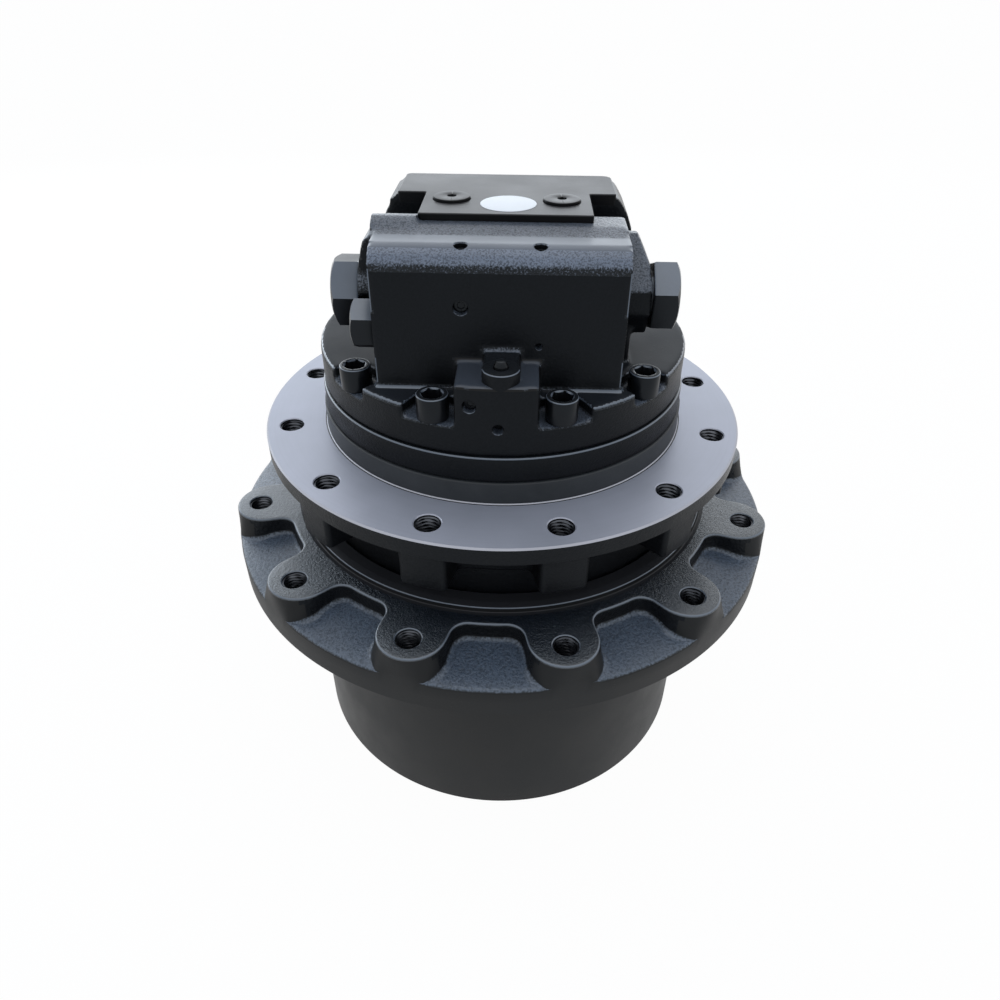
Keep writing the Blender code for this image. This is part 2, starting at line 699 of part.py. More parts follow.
def make_hub():
    """Drum with the ring gear cut in its bore and the lugged sprocket flange."""
    core = HUB_SHOULDER_RADIUS - 0.004
    body = turned("hub", [
        (core, 0.0), (DRUM_RADIUS, 0.0), (DRUM_RADIUS, SPROCKET_SEAT_Z - SEAT_FILLET),
        (DRUM_RADIUS + SEAT_FILLET, SPROCKET_SEAT_Z), (RIM_RADIUS, SPROCKET_SEAT_Z),
        (RIM_RADIUS, LUG_TOP_Z), (COLLAR_RADIUS, LUG_TOP_Z), (COLLAR_RADIUS, COLLAR_TOP_Z),
        (core, COLLAR_TOP_Z)], PAINT_GREY)
    seal_floor = UPPER_BEARING_Z + BEARING_WIDTH + 3.0 * SEAT_GAP + SEAL_FLOOR_LIFT
    groove_low = COVER_BOSS_HEIGHT - SNAP_RING_THICKNESS - 2.0 * SEAT_GAP
    cover_seat = COVER_RADIUS + SEAT_GAP
    shoulder_low = LOWER_BEARING_Z + BEARING_WIDTH + SEAT_GAP
    shoulder_high = UPPER_BEARING_Z - SEAT_GAP
    bore = turned("hub_bore", [
        (0.0, -0.01), (cover_seat, -0.01), (cover_seat, groove_low),
        (SNAP_GROOVE_RADIUS, groove_low), (SNAP_GROOVE_RADIUS, COVER_BOSS_HEIGHT),
        (cover_seat, COVER_BOSS_HEIGHT), (cover_seat, COVER_TOP_Z + SEAT_GAP),
        (BEARING_OUTER_RADIUS, COVER_TOP_Z + SEAT_GAP), (BEARING_OUTER_RADIUS, shoulder_low),
        (HUB_SHOULDER_RADIUS, shoulder_low), (HUB_SHOULDER_RADIUS, shoulder_high),
        (BEARING_OUTER_RADIUS, shoulder_high), (BEARING_OUTER_RADIUS, seal_floor),
        (COLLAR_BORE_RADIUS, seal_floor), (COLLAR_BORE_RADIUS, COLLAR_TOP_Z + 0.01),
        (0.0, COLLAR_TOP_Z + 0.01)], None, CORE_STEPS)
    spaces = extruded("ring_gear_spaces", [([ring_spaces()], COVER_TOP_Z - 0.001, RING_GEAR_END_Z)])
    petals = repeated("petal_pockets", lambda shape: fill_petal(shape, petal_outline(0.0)),
                      [about_z(0.0, angle + 180.0 / LUG_COUNT) for angle in lug_angles()])
    holes = extruded("lug_holes", [
        ([circle(THREAD_M14_RADIUS, BOLT_STEPS, polar(LUG_CIRCLE_RADIUS, angle))],
         SPROCKET_SEAT_Z - 0.005, LUG_TOP_Z + 0.005) for angle in lug_angles()])
    cut(body, bore, spaces, petals, holes)
    return body


def make_cover():
    """Dished cover with three plug seats, held in the hub by the snap ring."""
    body = turned("cover", [
        (0.0, 0.0), (COVER_BOSS_RADIUS, 0.0), (COVER_BOSS_RADIUS, COVER_BOSS_HEIGHT + SEAT_GAP),
        (COVER_RADIUS, COVER_BOSS_HEIGHT + SEAT_GAP), (COVER_RADIUS, COVER_TOP_Z),
        (COVER_DISH_RADIUS, COVER_TOP_Z), (COVER_DISH_RADIUS - 0.004, COVER_DISH_Z),
        (0.012, COVER_DISH_Z), (0.010, STAGE_ONE_Z - RUNNING_GAP),
        (0.0, STAGE_ONE_Z - RUNNING_GAP)], PAINT_GREY, CORE_STEPS)
    seats = turned_group("plug_seats", [
        (0.0, -0.005), (COVER_PLUG_HEAD_RADIUS + SEAT_GAP, -0.005),
        (COVER_PLUG_HEAD_RADIUS + SEAT_GAP, COVER_PLUG_HEAD_HEIGHT + COVER_PLUG_SINK),
        (COVER_PLUG_THREAD_RADIUS + SEAT_GAP, COVER_PLUG_HEAD_HEIGHT + COVER_PLUG_SINK),
        (COVER_PLUG_THREAD_RADIUS + SEAT_GAP, COVER_TOP_Z + 0.005), (0.0, COVER_TOP_Z + 0.005)],
        cover_plug_matrices(), BORE_STEPS)
    cut(body, seats)
    return body


def cover_plug_matrices():
    """Fill, level and drain plugs, a quarter turn apart."""
    return [about_z(COVER_PLUG_CIRCLE, angle) for angle in (0.0, 90.0, 180.0)]


def turned_group(name, profile, matrices, steps=BOLT_STEPS):
    """Like turned shapes at several places in one tool."""
    return repeated(name, lambda shape: spin_profile(shape, profile, steps), matrices)


def make_cover_plugs():
    """Socket-headed plugs sunk flush in the cover, drawn head up and turned over."""
    length = COVER_DISH_Z - COVER_PLUG_SINK
    head = COVER_PLUG_HEAD_HEIGHT - SEAT_GAP
    plug = socket_headed("cover_plug_1", [
        (0.0, -length), (COVER_PLUG_THREAD_RADIUS, -length), (COVER_PLUG_THREAD_RADIUS, -head),
        (COVER_PLUG_HEAD_RADIUS, -head), (COVER_PLUG_HEAD_RADIUS, 0.0), (0.0, 0.0)],
        0.0, COVER_PLUG_SOCKET_FLATS, COVER_PLUG_SOCKET_DEPTH, DARK_STEEL, BORE_STEPS)
    turned_over = Matrix.Translation((0, 0, COVER_PLUG_SINK)) @ Matrix.Rotation(pi, 4, "X")
    copies(["cover_plug_%d" % (i + 1) for i in range(3)], plug,
           [matrix @ turned_over for matrix in cover_plug_matrices()])


def make_snap_ring():
    """Open ring of flat section that springs into the hub's groove under the cover."""
    half_gap = SNAP_RING_OPENING / 2.0
    reach = (SNAP_GROOVE_RADIUS - SEAT_GAP) * cos(pi / CORE_STEPS)
    outer = arc((0, 0), reach, -90 + half_gap, 270 - half_gap, CORE_STEPS)
    inner = arc((0, 0), SNAP_RING_INNER_RADIUS, 270 - half_gap, -90 + half_gap, CORE_STEPS)
    low = COVER_BOSS_HEIGHT - SNAP_RING_THICKNESS - SEAT_GAP
    return extruded("cover_snap_ring", [([outer + inner], low, low + SNAP_RING_THICKNESS)],
                    SPRING_STEEL)


def ring(name, inner, outer, low, high, finish, steps=CORE_STEPS):
    """Plain ring of rectangular section."""
    return turned(name, [(inner, low), (outer, low), (outer, high), (inner, high)], finish, steps)


def make_bearing(place_name, low):
    """Inner race on the spindle, outer race in the hub and the rollers between them."""
    high = low + BEARING_WIDTH
    inner_seat = SPINDLE_BEARING_RADIUS + SEAT_GAP
    outer_seat = BEARING_OUTER_RADIUS - SEAT_GAP
    track_in = inner_seat + RACE_THICKNESS
    track_out = outer_seat - RACE_THICKNESS
    ring("bearing_inner_race_" + place_name, inner_seat, track_in, low, high, GROUND_STEEL)
    ring("bearing_outer_race_" + place_name, track_out, outer_seat, low, high, GROUND_STEEL)
    roller = (track_out - track_in) / 2.0 - ROLLER_CLEARANCE
    middle = (track_in + track_out) / 2.0
    extruded("bearing_cage_" + place_name, [(cage_outlines(middle, roller), low + 0.001, high - 0.001)],
             BRONZE)


def cage_outlines(middle, roller):
    """Outer and inner outline of a full roller row: each roller bulges out of its cage band."""
    outer = []
    inner = []
    for index in range(ROLLER_COUNT):
        angle = 360.0 * index / ROLLER_COUNT
        centre = polar(middle, angle)
        outer += arc(centre, roller, angle - ROLLER_BULGE, angle + ROLLER_BULGE, 2)
        inner += arc(centre, roller, angle + 180.0 + ROLLER_BULGE, angle + 180.0 - ROLLER_BULGE, 2)
    return [outer, inner]


def make_seal():
    """Two lapped rings of the face seal, one held in the hub and one in the spindle."""
    low = UPPER_BEARING_Z + BEARING_WIDTH + 4.0 * SEAT_GAP + SEAL_FLOOR_LIFT
    middle = low + SEAL_RING_HEIGHT
    waist = (SEAL_INNER_RADIUS + SEAL_OUTER_RADIUS) / 2.0
    turned("seal_ring_hub", [
        (SEAL_INNER_RADIUS + 0.004, low), (COLLAR_BORE_RADIUS - SEAT_GAP, low),
        (waist + 0.003, middle), (SEAL_INNER_RADIUS + 0.004, middle)], GROUND_STEEL, CORE_STEPS)
    top = middle + SEAT_GAP
    high = top + SEAL_RING_HEIGHT - 0.0024
    turned("seal_ring_frame", [
        (SEAL_INNER_RADIUS, high), (SEAL_INNER_RADIUS, top), (waist + 0.003, top),
        (SEAL_OUTER_RADIUS, high)], GROUND_STEEL, CORE_STEPS)


def make_stage_one():
    """Input sun on its quill, three planets, their carrier, pins and washers."""
    low = STAGE_ONE_Z
    high = STAGE_ONE_Z + STAGE_ONE_FACE
    distance = centre_distance(SUN_ONE_TEETH)
    sun = extruded("sun_one", [([outer_gear(SUN_ONE_TEETH)], low, high)], DARK_STEEL)
    quill_top = SHAFT_FOOT_Z + SHAFT_SOCKET_DEPTH - SEAT_GAP
    quill = extruded("sun_one_quill", [([circle(QUILL_RADIUS, BORE_STEPS)], high - 0.002, quill_top)])
    join(sun, quill)
    for index in range(PLANET_COUNT):
        angle = 360.0 * index / PLANET_COUNT
        x, y = polar(distance, angle)
        planet = extruded("planet_one_" + "abc"[index], [
            ([outer_gear(PLANET_ONE_TEETH, angle),
              circle(PIN_ONE_RADIUS + RUNNING_GAP, BORE_STEPS)], low, high)], DARK_STEEL)
        place(planet, (x, y, 0.0))
    plate_low = CARRIER_ONE_Z
    plate_high = CARRIER_ONE_Z + CARRIER_ONE_THICKNESS
    shank_hole = circle(SUN_TWO_SHANK_RADIUS + SEAT_GAP, BORE_STEPS)
    carrier = extruded("carrier_one", [([circle(CARRIER_ONE_RADIUS, CORE_STEPS), shank_hole],
                                        plate_low, plate_high)], PAINT_GREY)
    pins = turned_group("planet_one_pins", [
        (0.0, low), (PIN_ONE_RADIUS, low), (PIN_ONE_RADIUS, plate_low + 0.001),
        (0.0, plate_low + 0.001)], spread(distance, PLANET_COUNT), BORE_STEPS)
    join(carrier, pins)


def make_stage_two():
    """Output sun driven by the first carrier, three planets and the fixed carrier."""
    low = STAGE_TWO_Z
    high = STAGE_TWO_Z + STAGE_TWO_FACE
    distance = centre_distance(SUN_TWO_TEETH)
    half_tooth = 180.0 / SUN_TWO_TEETH
    sun = extruded("sun_two", [([outer_gear(SUN_TWO_TEETH, half_tooth)], low, high)], DARK_STEEL)
    shank = extruded("sun_two_shank", [([circle(SUN_TWO_SHANK_RADIUS, BORE_STEPS)],
                                        CARRIER_ONE_Z, low + 0.002)])
    bore = extruded("sun_two_bore", [([circle(QUILL_BORE_RADIUS, BORE_STEPS)],
                                      CARRIER_ONE_Z - 0.005, high + 0.005)])
    join(sun, shank)
    cut(sun, bore)
    for index in range(PLANET_COUNT):
        angle = 360.0 * index / PLANET_COUNT
        x, y = polar(distance, angle)
        planet = extruded("planet_two_" + "abc"[index], [
            ([outer_gear(PLANET_TWO_TEETH, angle),
              circle(PIN_TWO_RADIUS + RUNNING_GAP, BORE_STEPS)], low, high)], DARK_STEEL)
        place(planet, (x, y, 0.0))
    plate_high = CARRIER_TWO_Z + CARRIER_TWO_THICKNESS
    carrier = extruded("carrier_two", [([circle(CARRIER_TWO_RADIUS, CORE_STEPS),
                                         circle(SHAFT_HOLE_RADIUS, BORE_STEPS)],
                                        CARRIER_TWO_Z, plate_high)], PAINT_GREY)
    pin_low = low - RUNNING_GAP
    washer = PIN_TWO_RADIUS + WASHER_OVERHANG
    pins = turned_group("planet_two_pins", [
        (0.0, pin_low - WASHER_THICKNESS), (washer, pin_low - WASHER_THICKNESS), (washer, pin_low),
        (PIN_TWO_RADIUS, pin_low), (PIN_TWO_RADIUS, CARRIER_TWO_Z + 0.001),
        (0.0, CARRIER_TWO_Z + 0.001)],
        spread(distance, PLANET_COUNT), BORE_STEPS)
    head_low = CARRIER_TWO_Z - CARRIER_BOLT_HEAD_HEIGHT
    bolt_top = SPINDLE_END_Z + CARRIER_BOLT_DEPTH
    bolts = turned_group("carrier_two_bolts", [
        (0.0, head_low), (CARRIER_BOLT_HEAD_RADIUS, head_low),
        (CARRIER_BOLT_HEAD_RADIUS, CARRIER_TWO_Z + 0.001), (CARRIER_BOLT_RADIUS, CARRIER_TWO_Z + 0.001),
        (CARRIER_BOLT_RADIUS, bolt_top), (0.0, bolt_top)],
        [about_z(CARRIER_BOLT_CIRCLE, angle) for angle in carrier_bolt_angles()], 6)
    join(carrier, pins, bolts)


def make_motor_case():
    """Cup that carries the swash plate and the brake, with the black flange of the neck."""
    hole = SHAFT_HOLE_RADIUS - 0.008
    body = turned("motor_case", [
        (CASE_BRAKE_BORE_RADIUS + 0.002, NECK_TOP_Z + SEAT_GAP), (CASE_FLANGE_RADIUS, NECK_TOP_Z + SEAT_GAP),
        (CASE_FLANGE_RADIUS, CASE_TOP_Z), (CASE_BRAKE_BORE_RADIUS + 0.002, CASE_TOP_Z)], PAINT_BLACK)
    cup = turned("case_cup", [
        (hole, CASE_FOOT_Z), (SPINDLE_BORE_RADIUS - SEAT_GAP, CASE_FOOT_Z),
        (SPINDLE_BORE_RADIUS - SEAT_GAP, CASE_TOP_Z - 0.001), (CASE_BRAKE_BORE_RADIUS, CASE_TOP_Z - 0.001),
        (CASE_BRAKE_BORE_RADIUS, BRAKE_SEAT_Z), (CASE_BORE_RADIUS, BRAKE_SEAT_Z),
        (CASE_BORE_RADIUS, CASE_FLOOR_Z), (hole, CASE_FLOOR_Z)], None, CORE_STEPS)
    bolt_holes = extruded("case_bolt_holes", [
        ([circle(BOLT_RADIUS + SEAT_GAP, BOLT_STEPS, polar(BOLT_CIRCLE, angle), angle)],
         NECK_TOP_Z - 0.005, CASE_TOP_Z + 0.005) for angle in BOLT_ANGLES])
    piston_hole = extruded("speed_piston_bore", [
        ([circle(SPEED_PISTON_RADIUS + RUNNING_GAP, BOLT_STEPS, (0.0, SPEED_PISTON_Y))],
         CASE_FOOT_Z - 0.005, CASE_FLOOR_Z + 0.005)])
    join(body, cup)
    cut(body, bolt_holes, piston_hole)
    return body


def make_swash_plate():
    """Tilted plate on two half-round journals, their cradles and the speed piston."""
    plate = extruded("swash_plate", [
        ([circle(SWASH_RADIUS, CORE_STEPS)], -SWASH_THICKNESS, 0.0)], GROUND_STEEL)
    half_round = arc((0, 0), JOURNAL_RADIUS, 180.0, 360.0, 10)
    half_round = [(y, min(z, -SWASH_THICKNESS / 2.0)) for y, z in half_round]
    journals = repeated("swash_journals", lambda shape: extrude_outlines(
        shape, [half_round], -JOURNAL_WIDTH / 2.0, JOURNAL_WIDTH / 2.0),
        [across_x(x) for x in (-JOURNAL_OFFSET, JOURNAL_OFFSET)])
    hole = extruded("swash_hole", [([circle(SWASH_HOLE_RADIUS, BORE_STEPS)],
                                    -JOURNAL_RADIUS - 0.005, 0.005)])
    join(plate, journals)
    cut(plate, hole)
    place(plate, (0.0, 0.0, SWASH_AXIS_Z), (SWASH_ANGLE, 0.0, 0.0))
    seat = JOURNAL_RADIUS + SEAT_GAP
    drop = CRADLE_TOP_Z - SWASH_AXIS_Z
    edge = degrees(atan2(drop, sqrt(seat ** 2 - drop ** 2)))
    foot = CASE_FLOOR_Z + SEAT_GAP - SWASH_AXIS_Z
    saddle = arc((0, 0), seat, 180.0 - edge, 360.0 + edge, 10)
    saddle += [(CRADLE_HALF_DEPTH, drop), (CRADLE_HALF_DEPTH, foot)]
    saddle += [(-CRADLE_HALF_DEPTH, foot), (-CRADLE_HALF_DEPTH, drop)]
    for side, x in (("left", -JOURNAL_OFFSET), ("right", JOURNAL_OFFSET)):
        shape = bmesh.new()
        extrude_outlines(shape, [saddle], -JOURNAL_WIDTH / 2.0, JOURNAL_WIDTH / 2.0)
        bmesh.ops.transform(shape, matrix=across_x(0.0), verts=shape.verts)
        place(object_from("swash_cradle_" + side, shape, BRONZE), (x, 0.0, SWASH_AXIS_Z))
    tilt = radians(SWASH_ANGLE)
    underside = SWASH_AXIS_Z - SWASH_THICKNESS / cos(tilt)
    piston_top = underside + (SPEED_PISTON_Y - SPEED_PISTON_RADIUS) * tan(tilt) - RUNNING_GAP
    piston = turned("speed_piston", [
        (0.0, SPEED_PISTON_FOOT_Z), (SPEED_PISTON_RADIUS, SPEED_PISTON_FOOT_Z),
        (SPEED_PISTON_RADIUS, piston_top - 0.002), (SPEED_PISTON_RADIUS - 0.002, piston_top),
        (0.0, piston_top)], GROUND_STEEL, BOLT_STEPS)
    place(piston, (0.0, SPEED_PISTON_Y, 0.0))


def across_x(x):
    """Matrix that stands a (y, z) outline up and draws it along X, centred at x."""
    turn = Matrix(((0, 0, 1, 0), (1, 0, 0, 0), (0, 1, 0, 0), (0, 0, 0, 1)))
    return Matrix.Translation((x, 0, 0)) @ turn


def make_rotating_group():
    """Drive shaft, barrel, pistons, shoes, retainer and valve plate."""
    shaft_top = BLOCK_FOOT_Z + SHAFT_BEARING_HEIGHT - 0.001
    shaft = turned("drive_shaft", [
        (0.0, SHAFT_FOOT_Z + SHAFT_SOCKET_DEPTH), (QUILL_RADIUS + SEAT_GAP, SHAFT_FOOT_Z + SHAFT_SOCKET_DEPTH),
        (QUILL_RADIUS + SEAT_GAP, SHAFT_FOOT_Z), (SHAFT_RADIUS, SHAFT_FOOT_Z),
        (SHAFT_RADIUS, shaft_top), (0.0, shaft_top)], GROUND_STEEL, BORE_STEPS)
    bores = []
    for index in range(PISTON_COUNT):
        angle = 360.0 * index / PISTON_COUNT
        bores.append(circle(PISTON_RADIUS + SEAT_GAP, 8, polar(PISTON_CIRCLE, angle), angle))
    extruded("cylinder_barrel", [
        ([circle(BARREL_RADIUS, CORE_STEPS), circle(SHAFT_RADIUS + SEAT_GAP, BORE_STEPS)] + bores,
         BARREL_Z, BARREL_TOP_Z)], BRONZE)
    plate_low = SHOE_Z + SHOE_FLANGE + SEAT_GAP
    bushing_radius = RETAINER_BUSHING_RADIUS
    retainer = extruded("piston_set", [
        ([circle(RETAINER_RADIUS, CORE_STEPS), circle(bushing_radius + SEAT_GAP, BORE_STEPS)],
         plate_low, plate_low + RETAINER_THICKNESS)], GROUND_STEEL)
    pistons = turned_group("pistons_and_shoes", [
        (0.0, SHOE_Z), (SHOE_RADIUS, SHOE_Z), (SHOE_RADIUS, plate_low + 0.0005),
        (PISTON_NECK_RADIUS, SHOE_TOP_Z), (PISTON_RADIUS, SHOE_TOP_Z + 0.006),
        (PISTON_RADIUS, PISTON_TOP_Z), (0.0, PISTON_TOP_Z)],
        spread(PISTON_CIRCLE, PISTON_COUNT), 8)
    join(retainer, pistons)
    ring("retainer_bushing", SHAFT_RADIUS + SEAT_GAP, bushing_radius, plate_low, BARREL_Z - SEAT_GAP,
         DARK_STEEL, BORE_STEPS)
    kidneys = []
    for middle in (0.0, 180.0):
        start, end = middle - KIDNEY_HALF_ANGLE, middle + KIDNEY_HALF_ANGLE
        kidneys.append(arc((0, 0), PISTON_CIRCLE + KIDNEY_HALF_WIDTH, start, end, 8)
                       + arc((0, 0), PISTON_CIRCLE - KIDNEY_HALF_WIDTH, end, start, 8))
    plate_foot = BARREL_TOP_Z + RUNNING_GAP
    extruded("valve_plate", [
        ([circle(VALVE_PLATE_RADIUS, CORE_STEPS), circle(SHAFT_RADIUS + 0.003, BORE_STEPS)] + kidneys,
         plate_foot, BLOCK_FOOT_Z - SPIGOT_DEPTH - SEAT_GAP)], BRONZE)


def make_shaft_bearing(place_name, low, housing_radius):
    """Bearing sleeve of the shaft, seated in its housing."""
    ring("shaft_bearing_" + place_name, SHAFT_RADIUS + RUNNING_GAP, housing_radius - SEAT_GAP,
         low, low + SHAFT_BEARING_HEIGHT - 2.0 * SEAT_GAP, GROUND_STEEL, BORE_STEPS)


def make_brake():
    """Steel plates keyed to the case, friction discs on the barrel, piston and disc spring."""
    step = BRAKE_PLATE_THICKNESS + SEAT_GAP
    first = BRAKE_SEAT_Z + SEAT_GAP
    steel_outer = CASE_BRAKE_BORE_RADIUS - RUNNING_GAP
    for name, inner, outside, low in (
            ("brake_steel_plate_lower", BARREL_RADIUS + 0.003, steel_outer, first),
            ("brake_friction_disc", BARREL_RADIUS + 0.001, BRAKE_DISC_OUTER_RADIUS, first + step),
            ("brake_steel_plate_upper", BARREL_RADIUS + 0.003, steel_outer, first + 2.0 * step)):
        ring(name, inner, outside, low, low + BRAKE_PLATE_THICKNESS,
             FRICTION if "friction" in name else DARK_STEEL)
    low = first + 3.0 * step
    high = low + BRAKE_PISTON_HEIGHT
    outer = CASE_BRAKE_BORE_RADIUS - 0.0004
    ring("brake_piston", BARREL_RADIUS + 0.003, outer, low, high, DARK_STEEL)
    spring_top = BLOCK_FOOT_Z - SPIGOT_DEPTH - SEAT_GAP
    spring_low = high + BRAKE_PISTON_STROKE
    turned("brake_disc_spring", [
        (BARREL_RADIUS + 0.004, spring_top - 0.0016), (BARREL_RADIUS + 0.006, spring_top),
        (outer - 0.0005, spring_low + 0.0014), (outer - 0.0015, spring_low - 0.0009)],
        SPRING_STEEL, CORE_STEPS)


def body_profile():
    """Side outline (y, z) of the cast body: raked front, cast round, ledge and top."""
    foot = above(BLOCK_FLANGE_TOP_ABOVE) - 0.004
    ledge = above(LEDGE_ABOVE)
    front_top = BODY_FRONT_Y + BODY_DRAFT
    centre = (front_top + FRONT_ROUND_RADIUS, ledge - FRONT_ROUND_RADIUS)
    points = [(BODY_FRONT_Y, foot)]
    points += arc(centre, FRONT_ROUND_RADIUS, 180.0, 90.0, 5)
    points += [(LEDGE_REAR_Y, ledge), (SLAB_FRONT_Y, above(BODY_TOP_ABOVE)),
               (SLAB_REAR_Y, above(BODY_TOP_ABOVE)), (BODY_REAR_Y, above(BODY_TOP_ABOVE) - 0.010),
               (BODY_REAR_Y, foot)]
    return points


def slab_outline():
    """Plan of the machined top slab, with its narrow tongue at the front."""
    return [(SLAB_TONGUE_LEFT, SLAB_FRONT_Y), (SLAB_TONGUE_RIGHT, SLAB_FRONT_Y),
            (SLAB_TONGUE_RIGHT, SLAB_STEP_Y), (SLAB_RIGHT, SLAB_STEP_Y),
            (SLAB_RIGHT, SLAB_REAR_Y - 0.006), (SLAB_RIGHT - 0.006, SLAB_REAR_Y),
            (SLAB_LEFT, SLAB_REAR_Y), (SLAB_LEFT, SLAB_STEP_Y), (SLAB_TONGUE_LEFT, SLAB_STEP_Y)]


def bolt_pocket(angle):
    """Open pocket in the block's flange around one bolt head."""
    half = POCKET_HALF_ANGLE
    back = POCKET_BACK_RADIUS
    points = [polar(back + 0.004, angle - half), polar(back, angle - half * 0.6),
              polar(back, angle + half * 0.6), polar(back + 0.004, angle + half)]
    points += [polar(BLOCK_FLANGE_RADIUS + 0.006, angle + half),
               polar(BLOCK_FLANGE_RADIUS + 0.006, angle - half)]
    return points


def make_port_block():
    """Valve block: lobed flange, cast body, machined slab, spool bosses and ports."""
    lobe_top = above(BLOCK_FLANGE_TOP_ABOVE)
    body = turned("port_block", [
        (0.0, BLOCK_FOOT_Z), (BLOCK_FLANGE_RADIUS, BLOCK_FOOT_Z),
        (BLOCK_FLANGE_RADIUS, lobe_top), (0.0, lobe_top)], PAINT_BLACK)
    spigot = extruded("block_spigot", [
        ([circle(CASE_BRAKE_BORE_RADIUS - SEAT_GAP, CORE_STEPS)], BLOCK_FOOT_Z - SPIGOT_DEPTH,
         BLOCK_FOOT_Z + 0.002)])
    pockets = extruded("bolt_pockets", [
        ([bolt_pocket(angle)], above(BOLT_SEAT_ABOVE), lobe_top + 0.02) for angle in BOLT_ANGLES])
    cast_body = repeated("cast_body", lambda shape: extrude_outlines(
        shape, [body_profile()], -BODY_HALF_WIDTH, BODY_HALF_WIDTH), [across_x(0.0)])
    slab = extruded("slab", [([slab_outline()], above(BODY_TOP_ABOVE) - 0.004, above(SLAB_TOP_ABOVE))])
    tab = extruded("tab", [([[(-TAB_HALF_WIDTH, TAB_BACK_Y)]
                             + arc((0, 0), BLOCK_FLANGE_RADIUS, -90 - tab_half_angle(),
                                   -90 + tab_half_angle(), 6)
                             + [(TAB_HALF_WIDTH, TAB_BACK_Y)]],
                            BLOCK_FOOT_Z + 0.004, above(TAB_TOP_ABOVE))])
    notches = extruded("slab_notches", [
        ([[(-0.08, NOTCH_FRONT_Y), (SLAB_TONGUE_LEFT, NOTCH_FRONT_Y),
           (SLAB_TONGUE_LEFT, SLAB_STEP_Y), (-0.08, SLAB_STEP_Y)]],
         above(NOTCH_FLOOR_ABOVE), above(SLAB_TOP_ABOVE) + 0.01),
        ([[(SLAB_TONGUE_RIGHT, NOTCH_FRONT_Y), (0.08, NOTCH_FRONT_Y),
           (0.08, SLAB_STEP_Y), (SLAB_TONGUE_RIGHT, SLAB_STEP_Y)]],
         above(NOTCH_FLOOR_ABOVE), above(SLAB_TOP_ABOVE) + 0.01)])
    cast_boss = repeated("cast_boss", lambda shape: extrude_outlines(
        shape, [circle(CAST_BOSS_RADIUS, BORE_STEPS)], -BODY_HALF_WIDTH - 0.001, SLAB_TONGUE_LEFT),
        [Matrix.Translation((0, CAST_BOSS_Y, above(CAST_BOSS_TOP_ABOVE) - CAST_BOSS_RADIUS)) @ ALONG_X])
    spool_centre = Matrix.Translation((0, SPOOL_Y, above(SPOOL_ABOVE)))
    spool_bosses = repeated("spool_bosses", lambda shape: extrude_outlines(
        shape, [circle(SPOOL_BOSS_RADIUS, BORE_STEPS)], -SPOOL_BOSS_LEFT, SPOOL_BOSS_RIGHT),
        [spool_centre @ ALONG_X])
    shoulders = repeated("boss_shoulders", lambda shape: extrude_outlines(
        shape, [shoulder_outline()], -SHOULDER_REAR_Y, -SHOULDER_FRONT_Y), [ALONG_FRONT])
    spotface = repeated("check_cap_spotface", lambda shape: extrude_outlines(
        shape, [circle(CHECK_CAP_SPOTFACE_RADIUS, BORE_STEPS)], BODY_HALF_WIDTH, SPOOL_BOSS_LEFT + 0.005),
        [Matrix.Translation((0, CHECK_CAP_Y, above(CHECK_CAP_ABOVE))) @ ALONG_MINUS_X])
    spool_bore = repeated("spool_bore", lambda shape: spin_profile(shape, spool_bore_profile(), BORE_STEPS),
                          [spool_centre @ ALONG_X])
    cap_recess = extruded("pilot_cap_recess", [
        ([[(-CAP_RECESS_HALF_WIDTH, BODY_FRONT_Y - 0.01), (CAP_RECESS_HALF_WIDTH, BODY_FRONT_Y - 0.01),
           (CAP_RECESS_HALF_WIDTH * 0.7, BODY_FRONT_Y + CAP_RECESS_DEPTH),
           (-CAP_RECESS_HALF_WIDTH * 0.7, BODY_FRONT_Y + CAP_RECESS_DEPTH)]],
         above(BLOCK_FLANGE_TOP_ABOVE) - 0.002, above(CAP_RECESS_TOP_ABOVE))])
    pilot_bore = extruded("pilot_cap_bore", [
        ([circle(PILOT_CAP_RADIUS + SEAT_GAP, BORE_STEPS, (PILOT_CAP_X, PILOT_CAP_Y))],
         above(PILOT_CAP_FOOT_ABOVE), above(PILOT_CAP_TOP_ABOVE) + 0.002)])
    shaft_seat = extruded("upper_bearing_seat", [
        ([circle(UPPER_BEARING_SEAT_RADIUS, BORE_STEPS)], BLOCK_FOOT_Z - SPIGOT_DEPTH - 0.005,
         BLOCK_FOOT_Z + SHAFT_BEARING_HEIGHT)])
    bolt_holes = extruded("flange_bolt_holes", [
        ([circle(BOLT_RADIUS + SEAT_GAP, BOLT_STEPS, polar(BOLT_CIRCLE, angle), angle)],
         BLOCK_FOOT_Z - 0.005, above(BOLT_SEAT_ABOVE) + 0.005) for angle in BOLT_ANGLES])
    ports = repeated("rear_ports", lambda shape: extrude_outlines(
        shape, [circle(MAIN_PORT_RADIUS, BORE_STEPS)], -MAIN_PORT_DEPTH, 0.01),
        [Matrix.Translation((x, BODY_REAR_Y, above(MAIN_PORT_ABOVE))) @ ALONG_Y
         for x in (-MAIN_PORT_X, MAIN_PORT_X)])
    drain = repeated("drain_port", lambda shape: extrude_outlines(
        shape, [circle(DRAIN_PORT_RADIUS, BOLT_STEPS)], -0.016, 0.01),
        [Matrix.Translation((0, BODY_REAR_Y, above(DRAIN_PORT_ABOVE))) @ ALONG_Y])
    plug_sinks = extruded("slab_plug_sinks", [
        ([circle(SLAB_PLUG_SINK_RADIUS, BORE_STEPS, spot)], above(SLAB_TOP_ABOVE) - SLAB_PLUG_SINK,
         above(SLAB_TOP_ABOVE) + 0.005) for spot in SLAB_PLUG_PLACES])
